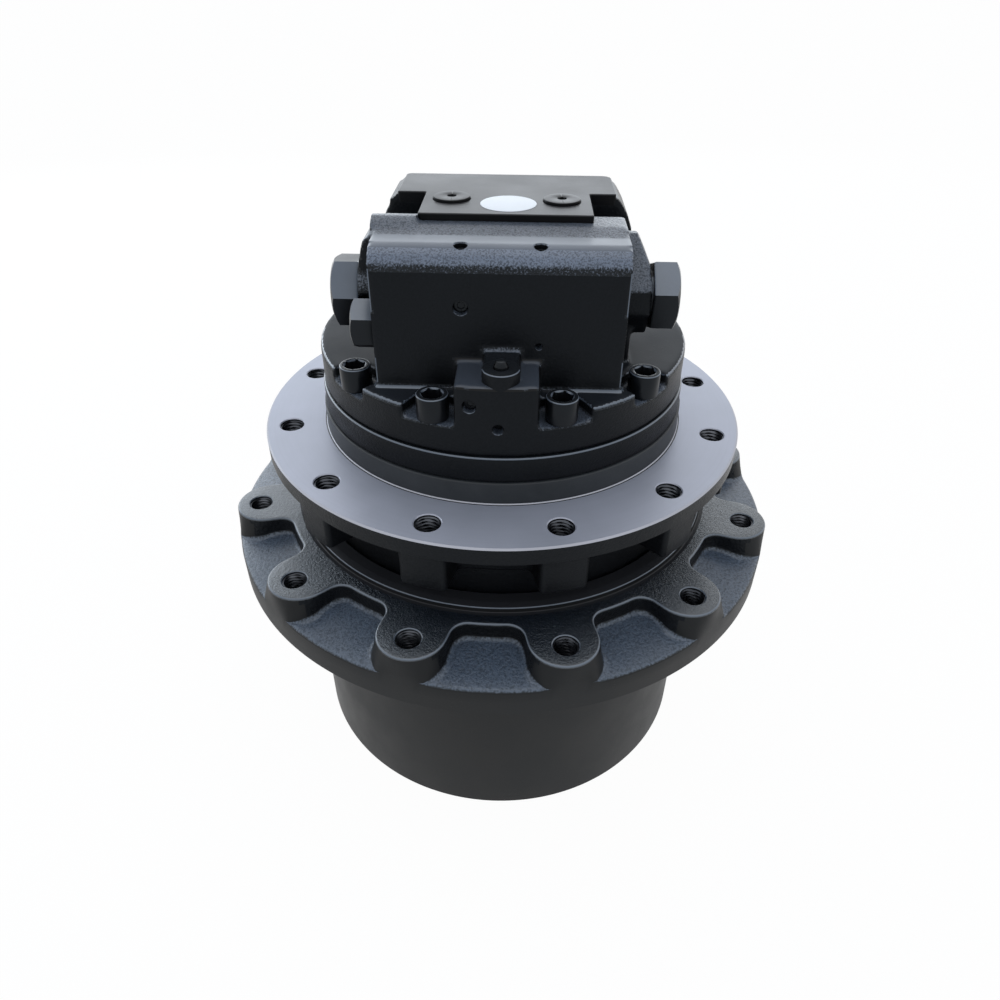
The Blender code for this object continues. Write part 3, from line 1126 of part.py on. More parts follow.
    small_sinks = repeated("small_plug_sinks", lambda shape: extrude_outlines(
        shape, [circle(SMALL_PLUG_RADIUS, BOLT_STEPS)], -SMALL_PLUG_SINK, 0.004),
        small_plug_matrices())
    join(body, spigot, cast_body)
    cut(body, pockets)
    join(body, tab, slab, spool_bosses, shoulders)
    cut(body, notches, spotface)
    join(body, cast_boss)
    cut(body, spool_bore, cap_recess, pilot_bore, shaft_seat, bolt_holes, ports, drain, plug_sinks,
        small_sinks)
    return body


def shoulder_outline():
    """Front view (x, z) of the cast shoulders that run down from the slab to the spool bosses."""
    top = above(SHOULDER_TOP_ABOVE)
    low = above(SPOOL_ABOVE)
    return [(-BODY_HALF_WIDTH, top), (-SPOOL_BOSS_LEFT, top - SHOULDER_SLOPE), (-SPOOL_BOSS_LEFT, low),
            (SPOOL_BOSS_RIGHT, low), (SPOOL_BOSS_RIGHT, top - SHOULDER_SLOPE), (BODY_HALF_WIDTH, top)]


def tab_half_angle():
    """Half the angle that the front tab fills on the flange's rim."""
    return degrees(atan2(TAB_HALF_WIDTH, sqrt(BLOCK_FLANGE_RADIUS ** 2 - TAB_HALF_WIDTH ** 2)))


def spool_bore_profile():
    """Bore for the spool and the wider threads for the two caps, along the spool's axis."""
    wide = CAP_THREAD_RADIUS + SEAT_GAP
    narrow = SPOOL_RADIUS + SEAT_GAP
    left = -SPOOL_BOSS_LEFT + CAP_THREAD_LENGTH + SEAT_GAP
    right = SPOOL_BOSS_RIGHT - CAP_THREAD_LENGTH - SEAT_GAP
    return [(0.0, -0.09), (wide, -0.09), (wide, left), (narrow, left), (narrow, right),
            (wide, right), (wide, 0.09), (0.0, 0.09)]


def small_plug_matrices():
    """Places of the small socket plugs: each matrix's Z points out of the block."""
    ledge = above(LEDGE_ABOVE)
    return [
        Matrix.Translation((-LEDGE_PLUG_X, LEDGE_PLUG_Y, ledge)),
        Matrix.Translation((LEDGE_PLUG_X, LEDGE_PLUG_Y, ledge)),
        Matrix.Translation((-0.0175, BODY_FRONT_Y + 0.0012, above(0.0900))) @ ALONG_FRONT,
        Matrix.Rotation(radians(-6.8), 4, "Z")
        @ Matrix.Translation((0.0, -BLOCK_FLANGE_RADIUS + 0.0004, above(0.0538))) @ ALONG_FRONT,
    ]


def make_block_fittings():
    """Bolts, caps, plugs, spool and springs of the valve block."""
    seat = above(BOLT_SEAT_ABOVE) + SEAT_GAP
    foot = NECK_TOP_Z - BOLT_THREAD_DEPTH
    bolt = socket_headed("port_block_bolt_1", [
        (0.0, foot - seat), (BOLT_RADIUS, foot - seat), (BOLT_RADIUS, 0.0), (BOLT_HEAD_RADIUS, 0.0),
        (BOLT_HEAD_RADIUS, BOLT_HEAD_HEIGHT), (0.0, BOLT_HEAD_HEIGHT)], BOLT_HEAD_HEIGHT,
        BOLT_SOCKET_FLATS, BOLT_SOCKET_DEPTH, PAINT_BLACK)
    copies(["port_block_bolt_%d" % (i + 1) for i in range(len(BOLT_ANGLES))], bolt,
           [about_z(BOLT_CIRCLE, angle) @ Matrix.Translation((0, 0, seat)) for angle in BOLT_ANGLES])
    axis = Matrix.Translation((0, SPOOL_Y, above(SPOOL_ABOVE)))
    make_spool_cap("spool_cap_left", SPOOL_BOSS_LEFT, CAP_HEAD_LEFT, CAP_TURN_LEFT, axis @ ALONG_MINUS_X)
    make_spool_cap("spool_cap_right", SPOOL_BOSS_RIGHT, CAP_HEAD_RIGHT, CAP_TURN_RIGHT, axis @ ALONG_X)
    half = SPOOL_LENGTH / 2.0
    spool = turned("counterbalance_spool", spool_profile(), GROUND_STEEL, BORE_STEPS)
    place(spool, (0.0, SPOOL_Y, above(SPOOL_ABOVE)), (0.0, 90.0, 0.0))
    make_spring("spool_spring_left", -half - SEAT_GAP, -SPOOL_BOSS_LEFT + hollow_floor(CAP_HEAD_LEFT))
    make_spring("spool_spring_right", half + SEAT_GAP, SPOOL_BOSS_RIGHT - hollow_floor(CAP_HEAD_RIGHT))
    check = bmesh.new()
    extrude_outlines(check, [hexagon(CHECK_CAP_FLATS, turn=30.0)], 0.0,
                     CHECK_CAP_REACH - BODY_HALF_WIDTH - SEAT_GAP)
    cap = object_from("check_valve_cap", check, PAINT_BLACK)
    place(cap, (-BODY_HALF_WIDTH - SEAT_GAP, CHECK_CAP_Y, above(CHECK_CAP_ABOVE)), (0.0, -90.0, 0.0))
    plug_low = above(SLAB_TOP_ABOVE) - SLAB_PLUG_SINK + SEAT_GAP
    plug_top = above(SLAB_TOP_ABOVE) - 0.0003
    height = plug_top - plug_low
    plug = socket_headed("slab_plug_left", [
        (0.0, 0.0), (SLAB_PLUG_RADIUS, 0.0), (SLAB_PLUG_RADIUS, height), (0.0, height)], height,
        SLAB_PLUG_SOCKET_FLATS, SLAB_PLUG_SOCKET_DEPTH, PAINT_BLACK, BORE_STEPS)
    copies(["slab_plug_left", "slab_plug_right"], plug,
           [Matrix.Translation((x, y, plug_low)) for x, y in SLAB_PLUG_PLACES])
    cap_low = above(PILOT_CAP_FOOT_ABOVE) + SEAT_GAP
    cap_top = above(PILOT_CAP_TOP_ABOVE)
    pilot = turned("pilot_cap", [
        (0.0, cap_low), (PILOT_CAP_RADIUS, cap_low), (PILOT_CAP_RADIUS, cap_top - 0.005),
        (PILOT_CAP_RADIUS - 0.002, cap_top - 0.002), (0.0035, cap_top - 0.001),
        (0.0030, cap_top), (0.0, cap_top)], PAINT_BLACK, BORE_STEPS)
    place(pilot, (PILOT_CAP_X, PILOT_CAP_Y, 0.0))


def hollow_floor(head):
    """Distance from the boss face to the floor of a cap's hollow, inwards negative."""
    return -(head - CAP_END_WALL)


def make_spool_cap(name, boss, head, turn, matrix):
    """Hexagon cap with a threaded, hollow shank that holds the spool spring."""
    shape = bmesh.new()
    extrude_outlines(shape, [hexagon(CAP_FLATS, turn=turn)], boss + SEAT_GAP, boss + head)
    bmesh.ops.recalc_face_normals(shape, faces=shape.faces)
    bmesh.ops.transform(shape, matrix=matrix, verts=shape.verts)
    cap = object_from(name, shape, PAINT_BLACK)
    shank = bmesh.new()
    spin_profile(shank, [
        (0.0, boss - CAP_THREAD_LENGTH), (CAP_THREAD_RADIUS, boss - CAP_THREAD_LENGTH),
        (CAP_THREAD_RADIUS, boss + 0.002), (0.0, boss + 0.002)], BORE_STEPS)
    bmesh.ops.transform(shank, matrix=matrix, verts=shank.verts)
    hollow = bmesh.new()
    spin_profile(hollow, [
        (0.0, boss - CAP_THREAD_LENGTH - 0.005), (CAP_HOLLOW_RADIUS, boss - CAP_THREAD_LENGTH - 0.005),
        (CAP_HOLLOW_RADIUS, boss + head - CAP_END_WALL), (0.0, boss + head - CAP_END_WALL)],
        BORE_STEPS)
    bmesh.ops.transform(hollow, matrix=matrix, verts=hollow.verts)
    join(cap, object_from(name + "_shank", shank))
    cut(cap, object_from(name + "_hollow", hollow))
    return cap


def spool_profile():
    """Spool with three lands and two metering grooves, drawn along Z about its middle."""
    half = SPOOL_LENGTH / 2.0
    land = SPOOL_RADIUS
    groove = SPOOL_GROOVE_RADIUS
    return [(0.0, -half), (land - 0.001, -half), (land, -half + 0.001), (land, -0.020),
            (groove, -0.018), (groove, -0.008), (land, -0.006), (land, 0.006), (groove, 0.008),
            (groove, 0.018), (land, 0.020), (land, half - 0.001), (land - 0.001, half), (0.0, half)]


def make_spring(name, start, end):
    """Coil spring between the spool's end and the floor of its cap, along X."""
    sign = 1.0 if end > start else -1.0
    first = start + sign * SPRING_WIRE_RADIUS * 1.2
    last = end - sign * SPRING_WIRE_RADIUS * 1.2
    steps = SPRING_TURNS * SPRING_TURN_STEPS
    curve = bpy.data.curves.new(name, "CURVE")
    curve.dimensions = "3D"
    curve.bevel_depth = SPRING_WIRE_RADIUS
    curve.bevel_resolution = 0
    curve.use_fill_caps = True
    wire = curve.splines.new("POLY")
    wire.points.add(steps)
    for step in range(steps + 1):
        turn = 360.0 * SPRING_TURNS * step / steps
        y, z = polar(SPRING_RADIUS, turn)
        wire.points[step].co = (first + (last - first) * step / steps, y, z, 1.0)
    item = bpy.data.objects.new(name, curve)
    bpy.context.scene.collection.objects.link(item)
    curve.materials.append(finish_of(name, SPRING_STEEL))
    place(item, (0.0, SPOOL_Y, above(SPOOL_ABOVE)))
    return item


def main():
    clear_scene()
    make_spindle()
    make_hub()
    make_cover()
    make_cover_plugs()
    make_snap_ring()
    make_bearing("lower", LOWER_BEARING_Z)
    make_bearing("upper", UPPER_BEARING_Z)
    make_seal()
    make_stage_one()
    make_stage_two()
    make_motor_case()
    make_swash_plate()
    make_rotating_group()
    make_shaft_bearing("lower", SPINDLE_END_Z + SEAT_GAP, SHAFT_HOLE_RADIUS)
    make_shaft_bearing("upper", BLOCK_FOOT_Z + SEAT_GAP, UPPER_BEARING_SEAT_RADIUS)
    make_brake()
    make_port_block()
    make_block_fittings()


main()
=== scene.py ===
"""Looks of the excavator final drive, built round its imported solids.

The drive stands on its cover: Z is the axis of the hub and -Y the front. Lengths are metres.
"""
from math import acos, atan2, cos, degrees, hypot, pi, radians, sin, sqrt, tan
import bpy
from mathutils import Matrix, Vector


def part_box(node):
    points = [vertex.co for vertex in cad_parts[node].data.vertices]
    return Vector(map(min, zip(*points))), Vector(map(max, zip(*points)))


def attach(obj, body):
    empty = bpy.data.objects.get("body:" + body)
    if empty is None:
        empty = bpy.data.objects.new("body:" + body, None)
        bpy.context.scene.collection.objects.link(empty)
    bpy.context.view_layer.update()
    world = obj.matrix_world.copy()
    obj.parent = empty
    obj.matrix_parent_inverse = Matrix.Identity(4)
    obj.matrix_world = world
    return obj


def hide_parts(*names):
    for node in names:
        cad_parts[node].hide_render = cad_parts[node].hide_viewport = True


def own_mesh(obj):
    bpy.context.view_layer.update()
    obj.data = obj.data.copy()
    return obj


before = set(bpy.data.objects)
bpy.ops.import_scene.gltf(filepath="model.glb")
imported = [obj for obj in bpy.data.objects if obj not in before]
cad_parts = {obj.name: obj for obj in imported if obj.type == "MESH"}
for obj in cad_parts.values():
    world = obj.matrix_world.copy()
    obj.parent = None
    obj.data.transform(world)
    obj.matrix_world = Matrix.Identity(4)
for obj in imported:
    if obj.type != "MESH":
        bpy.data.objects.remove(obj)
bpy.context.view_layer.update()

from types import SimpleNamespace

import bmesh
import bpy
import numpy as np
from bpy.props import FloatProperty, FloatVectorProperty, IntProperty, PointerProperty
from mathutils import Matrix, Vector

HUB_BODY = "hub_side"
FRAME_BODY = "frame_side"
HUB_TOP_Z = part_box("hub")[1].z
NECK_TOP_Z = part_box("spindle")[1].z
CASE_TOP_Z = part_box("motor_case")[1].z
BLOCK_TOP_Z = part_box("port_block")[1].z
FLANGE_FACE_Z = NECK_TOP_Z - 0.0125

bl_info = {
    "name": "Excavator final drive looks",
    "version": (1, 0, 0),
    "blender": (4, 5, 0),
    "location": "View3D > Sidebar > Final Drive",
    "description": "Builds the visible castings, screws and finishes of a final drive",
    "category": "Object",
}

# Sides of large turned pieces and of small ones, steps in one round of a profile, shares of a span
TURNED_STEPS = 144
SMALL_STEPS = 48
ROUND_STEPS = 4
SHARP_ANGLE = radians(34.0)
QUARTERS = (0.25, 0.5, 0.75)

# Rings of lugs and frame bosses, with an M14 hole and its thread in each
RING_COUNT = 12
LUG_TURN, BOSS_TURN = 14.0, 15.0
LUG_CIRCLE, FRAME_CIRCLE = 0.1525, 0.1255
M14_DRILL, M14_OUTSIDE, M14_CHAMFER = 0.0068, 0.00685, 0.0005
THREAD_PITCH = 0.002

# Hub: underside and lug faces of the sprocket flange, floor between the lugs, end of the lug faces
SEAT_Z = 0.139
LUG_TOP_Z = HUB_TOP_Z - 0.0035
PETAL_FOOT_Z, PETAL_RIM_Z = 0.1605, 0.1570
LAND_RADIUS, LAND_END = 0.1290, 0.1292
LUG_EDGE = 0.0013
GEAR_TEETH = 63
GEAR_LOW, GEAR_HIGH = 0.0145, 0.0898

# Valve block and its screws
BOLT_ANGLES = (-139.2, -108.7, -71.3, -40.8, 40.8, 71.3, 108.7, 139.2)
BOLT_CIRCLE = 0.0965
BOLT_HOLE = 0.0056
BLOCK_RADIUS = 0.103
CASE_RADIUS = 0.104
BOLT_SEAT_Z = FLANGE_FACE_Z + 0.0420
SPOOL_Y = -0.0340
SPOOL_Z = FLANGE_FACE_Z + 0.0825
LEDGE_Z = FLANGE_FACE_Z + 0.1170
BODY_HALF_WIDTH = 0.0600
BODY_FRONT_Y = -0.0765
BODY_REAR_Y = 0.0480
FLANGE_TOP_Z = FLANGE_FACE_Z + 0.0490
SLAB_PLUG_PLACES = ((-0.0262, -0.0112), (0.0293, -0.0133))
SLAB_PLUG_PROUD = 0.0016
COVER_PLUG_ANGLES = (0.0, 90.0, 180.0)

# Lamps, floor and camera
LAMP_TARGET = (0.0, 0.0, 0.2)
FLOOR_RADIUS, FLOOR_STEPS, FLOOR_WHITENESS = 30.0, 72, 0.97
CAMERA_PLACE = (0.0115, -0.4106, 0.4536)
CAMERA_ANGLES = (91.745, 36.437, 0.459)


def above(height):
    """Height in the part of a place given above the frame flange's face."""
    return FLANGE_FACE_Z + height


CHECK_PLACE = (0.0, -0.0600, above(0.0755))
PILOT_PLACE = (0.0018, -0.0939, 0.0)


# Outlines and profiles

def arc(centre, radius, start, end, steps):
    """Points on a circle between two angles in degrees, both ends included."""
    angles = np.radians(np.linspace(start, end, steps + 1))
    return np.c_[centre[0] + radius * np.cos(angles), centre[1] + radius * np.sin(angles)]


def rounded(corners, closed=False, steps=ROUND_STEPS):
    """Line through (x, y, radius) corners with an arc in each corner that has a radius.

    An arc of radius r in a corner of inner angle 2a touches both sides at r / tan(a) from the corner.
    """
    points = np.array([corner[:2] for corner in corners], float)
    runs = []
    for index, (x, y, radius) in enumerate(corners):
        at_end = not closed and index in (0, len(corners) - 1)
        if radius <= 0.0 or at_end:
            runs.append(points[index:index + 1])
            continue
        here = points[index]
        back = points[index - 1] - here
        on = points[(index + 1) % len(corners)] - here
        back /= np.linalg.norm(back)
        on /= np.linalg.norm(on)
        half = acos(np.clip(back @ on, -1.0, 1.0)) / 2.0
        middle = (back + on) / np.linalg.norm(back + on)
        centre = here + middle * radius / sin(half)
        first = here + back * radius / tan(half) - centre
        last = here + on * radius / tan(half) - centre
        sweep = pi - 2.0 * half
        share = np.linspace(0.0, 1.0, steps + 1)[:, None]
        runs.append(centre + (np.sin((1.0 - share) * sweep) * first
                              + np.sin(share * sweep) * last) / sin(sweep))
    return np.vstack(runs)


def turns(steps):
    """Angles of the steps round a turned piece."""
    return np.linspace(0.0, 2.0 * pi, steps, endpoint=False)


def turned_grid(radius, height, turn):
    """Grid of points at radii and heights round the axis: x = r cos t, y = r sin t."""
    return np.stack(np.broadcast_arrays(radius * np.cos(turn), radius * np.sin(turn), height), axis=2)


def hexagon_radius(turn, flats):
    """Radius of a hexagon across its flats at each angle."""
    folded = np.mod(turn + pi / 6.0, pi / 3.0) - pi / 6.0
    return flats / 2.0 / np.cos(folded)


def rectangle(left, right, front, rear):
    return [(left, front), (right, front), (right, rear), (left, rear)]


# Meshes

def quads_of(rows, columns, wrap_rows, wrap_columns):
    """Corner numbers of the faces of a grid that may close on itself either way."""
    index = np.arange(rows * columns).reshape(rows, columns)
    down = np.roll(index, -1, 0)
    right = np.roll(index, -1, 1)
    both = np.roll(down, -1, 1)
    last_row = rows if wrap_rows else rows - 1
    last_column = columns if wrap_columns else columns - 1
    quads = np.stack([index, down, both, right], axis=2)
    return quads[:last_row, :last_column]


def mesh_from(name, points, faces):
    """Closed mesh with doubles merged and its faces pointing out."""
    mesh = bpy.data.meshes.new(name)
    mesh.from_pydata(np.asarray(points).reshape(-1, 3).tolist(), [], [list(face) for face in faces])
    shape = bmesh.new()
    shape.from_mesh(mesh)
    bmesh.ops.remove_doubles(shape, verts=shape.verts, dist=2e-6)
    bmesh.ops.dissolve_degenerate(shape, dist=1e-6, edges=shape.edges)
    bmesh.ops.recalc_face_normals(shape, faces=shape.faces)
    shape.to_mesh(mesh)
    shape.free()
    return mesh


def grid_mesh(name, grid, wrap_rows=True, wrap_columns=False):
    """Mesh of one grid."""
    quads = quads_of(grid.shape[0], grid.shape[1], wrap_rows, wrap_columns)
    return mesh_from(name, grid, quads.reshape(-1, 4).tolist())


def joined(name, meshes):
    """One mesh of several, each kept as its own closed surface."""
    shape = bmesh.new()
    for mesh in meshes:
        shape.from_mesh(mesh)
        bpy.data.meshes.remove(mesh)
    whole = bpy.data.meshes.new(name)
    shape.to_mesh(whole)
    shape.free()
    return whole


def moved(mesh, matrix):
    """The mesh itself, moved by a matrix if there is one."""
    if matrix is not None:
        mesh.transform(matrix)
    return mesh


def copies_at(name, mesh, places):
    """Copies of a mesh at several places, as one mesh."""
    copies = [moved(mesh.copy(), place) for place in places]
    bpy.data.meshes.remove(mesh)
    return joined(name, copies)


def at_height(points, height):
    """Points (x, y) with one height, or one each, as z."""
    return np.c_[points, np.broadcast_to(height, len(points))]


def prism(name, outline, low, high, matrix=None):
    """Straight solid over an (x, y) outline between two heights."""
    count = len(outline)
    points = np.vstack([at_height(outline, low), at_height(outline, high)])
    sides = [(k, (k + 1) % count, (k + 1) % count + count, k + count) for k in range(count)]
    caps = [tuple(range(count - 1, -1, -1)), tuple(range(count, 2 * count))]
    return moved(mesh_from(name, points, sides + caps), matrix)


def lathe(name, profile, steps=TURNED_STEPS, closed=False, matrix=None):
    """Turned mesh of a (radius, z) profile: x = r cos t, y = r sin t.

    A profile that isn't closed starts and ends on the axis.
    """
    turn = turns(steps)[:, None]
    radius, height = np.asarray(profile, float).T[:, None]
    return moved(grid_mesh(name, turned_grid(radius, height, turn), True, closed), matrix)


def zoned(mesh, *rules):
    """Give the faces of a mesh material n by rule n, a function of their centres, normals and radii."""
    count = len(mesh.polygons)
    centres, normals = np.empty(count * 3), np.empty(count * 3)
    mesh.polygons.foreach_get("center", centres)
    mesh.polygons.foreach_get("normal", normals)
    x, y, z = centres.reshape(-1, 3).T
    nx, ny, nz = normals.reshape(-1, 3).T
    faces = SimpleNamespace(x=x, y=y, z=z, nx=nx, ny=ny, nz=nz, r=np.hypot(x, y))
    zones = np.zeros(count, dtype=np.int32)
    for index, rule in enumerate(rules, 1):
        zones[rule(faces)] = index
    mesh.polygons.foreach_set("material_index", zones)


def linked(name, data):
    """Object of some data, in the scene."""
    item = bpy.data.objects.new(name, data)
    bpy.context.scene.collection.objects.link(item)
    return item


def carved(mesh, *steps):
    """Mesh after exact cuts and joins in turn: each step is (operation, tool mesh, ...)."""
    target = linked("carved", mesh)
    tools = []
    for operation, *tool_meshes in steps:
        for tool_mesh in tool_meshes:
            step = target.modifiers.new("step", "BOOLEAN")
            step.operation, step.solver, step.object = operation, "EXACT", linked("tool", tool_mesh)
            tools.append(tool_mesh)
    result = evaluated(target)
    for tool_mesh in tools:
        bpy.data.meshes.remove(tool_mesh)
    return result


def evaluated(target):
    """Mesh of an object after its modifiers; the object itself goes."""
    bpy.context.view_layer.update()
    graph = bpy.context.evaluated_depsgraph_get()
    result = bpy.data.meshes.new_from_object(target.evaluated_get(graph))
    bpy.data.objects.remove(target)
    return result


def cast_skin(mesh, voxel, softness):
    """Mesh skinned afresh at one voxel size and smoothed, which rounds every edge like sand casting."""
    target = linked("skin", mesh)
    skin = target.modifiers.new("skin", "REMESH")
    skin.mode, skin.voxel_size = "VOXEL", voxel
    soft = target.modifiers.new("soft", "SMOOTH")
    soft.factor, soft.iterations = 0.5, softness
    return evaluated(target)


def piece(name, mesh, looks, body, slot, *replaced):
    """Object at the origin that rides on a body and stands for the nodes it replaces.

    Its finishes are named in looks, the first of them being the one of faces outside any zone.
    """
    mesh.name = name
    mesh.shade_smooth()
    mesh.set_sharp_from_angle(angle=SHARP_ANGLE)
    mesh.materials.clear()
    for look in looks.split():
        mesh.materials.append(LOOKS[look])
    item = linked(name, mesh)
    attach(item, body)
    if replaced:
        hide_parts(*replaced)
    return item


def turned_to(x, y, z, rotation=None):
    """Matrix of a place, with an optional turn before the move."""
    matrix = Matrix.Translation((x, y, z))
    return matrix @ rotation if rotation is not None else matrix


TO_FRONT = Matrix.Rotation(radians(90.0), 4, "X")
TO_REAR = Matrix.Rotation(radians(-90.0), 4, "X")
STAND_ALONG_X = Matrix(((0, 0, 1, 0), (1, 0, 0, 0), (0, 1, 0, 0), (0, 0, 0, 1)))
ALONG_MINUS_X = Matrix(((0, 0, -1, 0), (1, 0, 0, 0), (0, -1, 0, 0), (0, 0, 0, 1)))


def about_z(radius, angle, z=0.0):
    """Matrix of a place at a radius and an angle in degrees about Z."""
    return Matrix.Rotation(radians(angle), 4, "Z") @ Matrix.Translation((radius, 0.0, z))


def cylinder(radius, low, high, matrix=None, steps=SMALL_STEPS):
    return lathe("cylinder", [(0.0, low), (radius, low), (radius, high), (0.0, high)], steps, matrix=matrix)


def polar(radius, angle):
    return radius * cos(radians(angle)), radius * sin(radians(angle))


# Scalloped outlines, which the sprocket lugs and the frame bosses share

def scallops(count, turn, tip, half_width, corner, corner_x, root, fillet, splay=0.0):
    """Outline round a ring of lugs, its normals, and the angles of the circles inside and outside.

    Half a lug runs along its tip circle, round its corner, down a straight side, through a concave
    fillet and along the root circle to the middle of the pocket. The other half is its mirror image.
    The foot outline stands out from it by the splay at the tip, fading to none where the straight side
    starts, and is held within the tip circle. The outer angle goes from the end of the foot's tip to the
    middle of the pocket in step with the length along the foot, and the inner angle goes up to the root
    in step with the length of the outline, so lines to either circle don't cross.
    """
    corner_y = half_width - corner
    far = hypot(corner_x, corner_y)
    lean = atan2(corner_y, corner_x)
    reach = np.clip((tip ** 2 - far ** 2 - corner ** 2) / (2.0 * far * corner), -1.0, 1.0)
    first = degrees(lean + acos(reach))
    meet = arc((corner_x, corner_y), corner, first, first, 0)[0]
    tip_end = degrees(atan2(meet[1], meet[0]))
    side_y = half_width + fillet
    side_x = sqrt((root + fillet) ** 2 - side_y ** 2)
    root_start = degrees(atan2(side_y, side_x))
    half_pitch = 180.0 / count
    runs = [arc((0, 0), tip, 0.0, tip_end, 4)[:-1] if tip_end > 0.01 else np.zeros((0, 2)),
            arc((corner_x, corner_y), corner, first, 90.0, 10)[:-1],
            np.c_[np.linspace(corner_x, side_x, 4)[:-1], np.full(3, half_width)],
            arc((side_x, side_y), fillet, -90.0, -180.0 + root_start, 8)[:-1],
            arc((0, 0), root, root_start, half_pitch, 4)]
    normals = [runs[0] / tip, (runs[1] - (corner_x, corner_y)) / corner, np.tile([0.0, 1.0], (3, 1)),
               ((side_x, side_y) - runs[3]) / fillet, runs[4] / root]
    outline, normal = np.vstack(runs), np.vstack(normals)
    steps = np.r_[0.0, np.hypot(*np.diff(outline, axis=0).T)]
    length = np.cumsum(steps)
    own = np.degrees(np.arctan2(outline[:, 1], outline[:, 0]))
    corner_index = len(runs[0]) + len(runs[1])
    root_index = len(outline) - len(runs[4])
    fade = np.clip(1.0 - length / length[corner_index], 0.0, 1.0)
    foot = outline + normal * (splay * fade * (2.0 - fade))[:, None]
    reach = np.hypot(*foot.T)
    at_tip = reach >= tip - 1e-7
    foot[at_tip] *= (tip / reach[at_tip])[:, None]
    last = int(np.flatnonzero(at_tip)[-1]) if at_tip.any() and splay else len(runs[0])
    along = np.cumsum(np.r_[0.0, np.hypot(*np.diff(foot, axis=0).T)])
    foot_angle = np.degrees(np.arctan2(foot[:, 1], foot[:, 0]))
    past = (along - along[last]) / (along[-1] - along[last])
    outer = np.where(past <= 0.0, foot_angle,
                     foot_angle[last] + (half_pitch - foot_angle[last]) * np.clip(past, 0.0, 1.0))
    inner = np.where(length < length[root_index], root_start * length / length[root_index], own)
    mirror = (1, -1)
    sides = [(outline * mirror, normal * mirror, -outer, -inner, foot * mirror),
             (outline, normal, outer, inner, foot)]
    whole = [np.concatenate([sides[0][k][::-1][:-1], sides[1][k][:-1]]) for k in range(5)]
    parts = []
    for index in range(count):
        angle = radians(turn + 360.0 * index / count)
        spin = np.array([[cos(angle), sin(angle)], [-sin(angle), cos(angle)]])
        parts.append([line @ spin if line.ndim == 2 else radians(1.0) * line + angle for line in whole])
    return [np.concatenate(part) for part in zip(*parts)]


def circle_columns(profile, angles):
    """Columns of rings at (radius, z) along the given angles."""
    direction = np.c_[np.cos(angles), np.sin(angles)]
    return [at_height(direction * radius, height) for radius, height in profile]


def between(first, last, shares):
    """Columns at shares of the way from one column to another."""
    return [first + (last - first) * share for share in shares]


def hollow_columns(outline, normal, size, floor, up):
    """Concave round between a floor and a wall on the outline, from the floor to the wall."""
    columns = []
    for angle in np.linspace(0.0, pi / 2.0, ROUND_STEPS + 1):
        spot = outline + normal * (size * (1.0 - sin(angle)))[:, None]
        columns.append(at_height(spot, floor + up * size * (1.0 - cos(angle))))
    return columns


def edge_columns(outline, normal, size, height, up):
    """Convex round from a wall on the outline to the flat at a height."""
    columns = []
    for angle in np.linspace(0.0, pi / 2.0, ROUND_STEPS + 1):
        spot = outline - normal * size * (1.0 - cos(angle))
        columns.append(at_height(spot, height - up * size * (1.0 - sin(angle))))
    return columns


def scalloped_mesh(name, columns):
    """Closed mesh of columns in order round the section."""
    return grid_mesh(name, np.stack(columns, axis=1), True, True)


# Shader groups

def node(tree, kind, inputs=None, **settings):
    """Shader node; each input is an output that feeds it or a constant."""
    made = tree.nodes.new("ShaderNode" + kind)
    for key, value in settings.items():
        setattr(made, key, value)
    for key, value in (inputs or {}).items():
        if isinstance(value, bpy.types.NodeSocket):
            tree.links.new(value, made.inputs[key])
        else:
            made.inputs[key].default_value = value
    return made


def maths(tree, operation, *values, clamp=False):
    """Result of a Math node."""
    return node(tree, "Math", dict(enumerate(values)), operation=operation, use_clamp=clamp).outputs[0]


def remap(tree, value, low=0.0, high=1.0, from_low=0.0, from_high=1.0, kind="LINEAR"):
    """Value moved from one range to another and held within it."""
    return node(tree, "MapRange", {"Value": value, "From Min": from_low, "From Max": from_high,
                                   "To Min": low, "To Max": high}, interpolation_type=kind).outputs[0]


def noise(tree, place, scale, detail, rough=0.5):
    return node(tree, "TexNoise", {"Vector": place, "Scale": scale, "Detail": detail,
                                   "Roughness": rough}).outputs["Fac"]


def mixed(tree, mask, first, second):
    """Colour between two by a mask; each is an output or three numbers."""
    ends = [end if isinstance(end, bpy.types.NodeSocket) else (*end, 1.0) for end in (first, second)]
    return node(tree, "Mix", {"Factor": mask, 6: ends[0], 7: ends[1]}, data_type="RGBA").outputs[2]


def make_group(name, inputs, outputs, build):
    """Node group of numbers; build gives its outputs from the tree, its inputs and the coordinates."""
    tree = bpy.data.node_groups.new(name, "ShaderNodeTree")
    for label, value in inputs.items():
        socket = tree.interface.new_socket(name=label, in_out="INPUT", socket_type="NodeSocketFloat")
        socket.default_value = value
    for label in outputs:
        tree.interface.new_socket(name=label, in_out="OUTPUT", socket_type="NodeSocketFloat")
    given, out = tree.nodes.new("NodeGroupInput"), tree.nodes.new("NodeGroupOutput")
    results = build(tree, given.outputs, node(tree, "TexCoord").outputs)
    for label, result in zip(outputs, results):
        tree.links.new(result, out.inputs[label])
    GROUPS[name] = tree


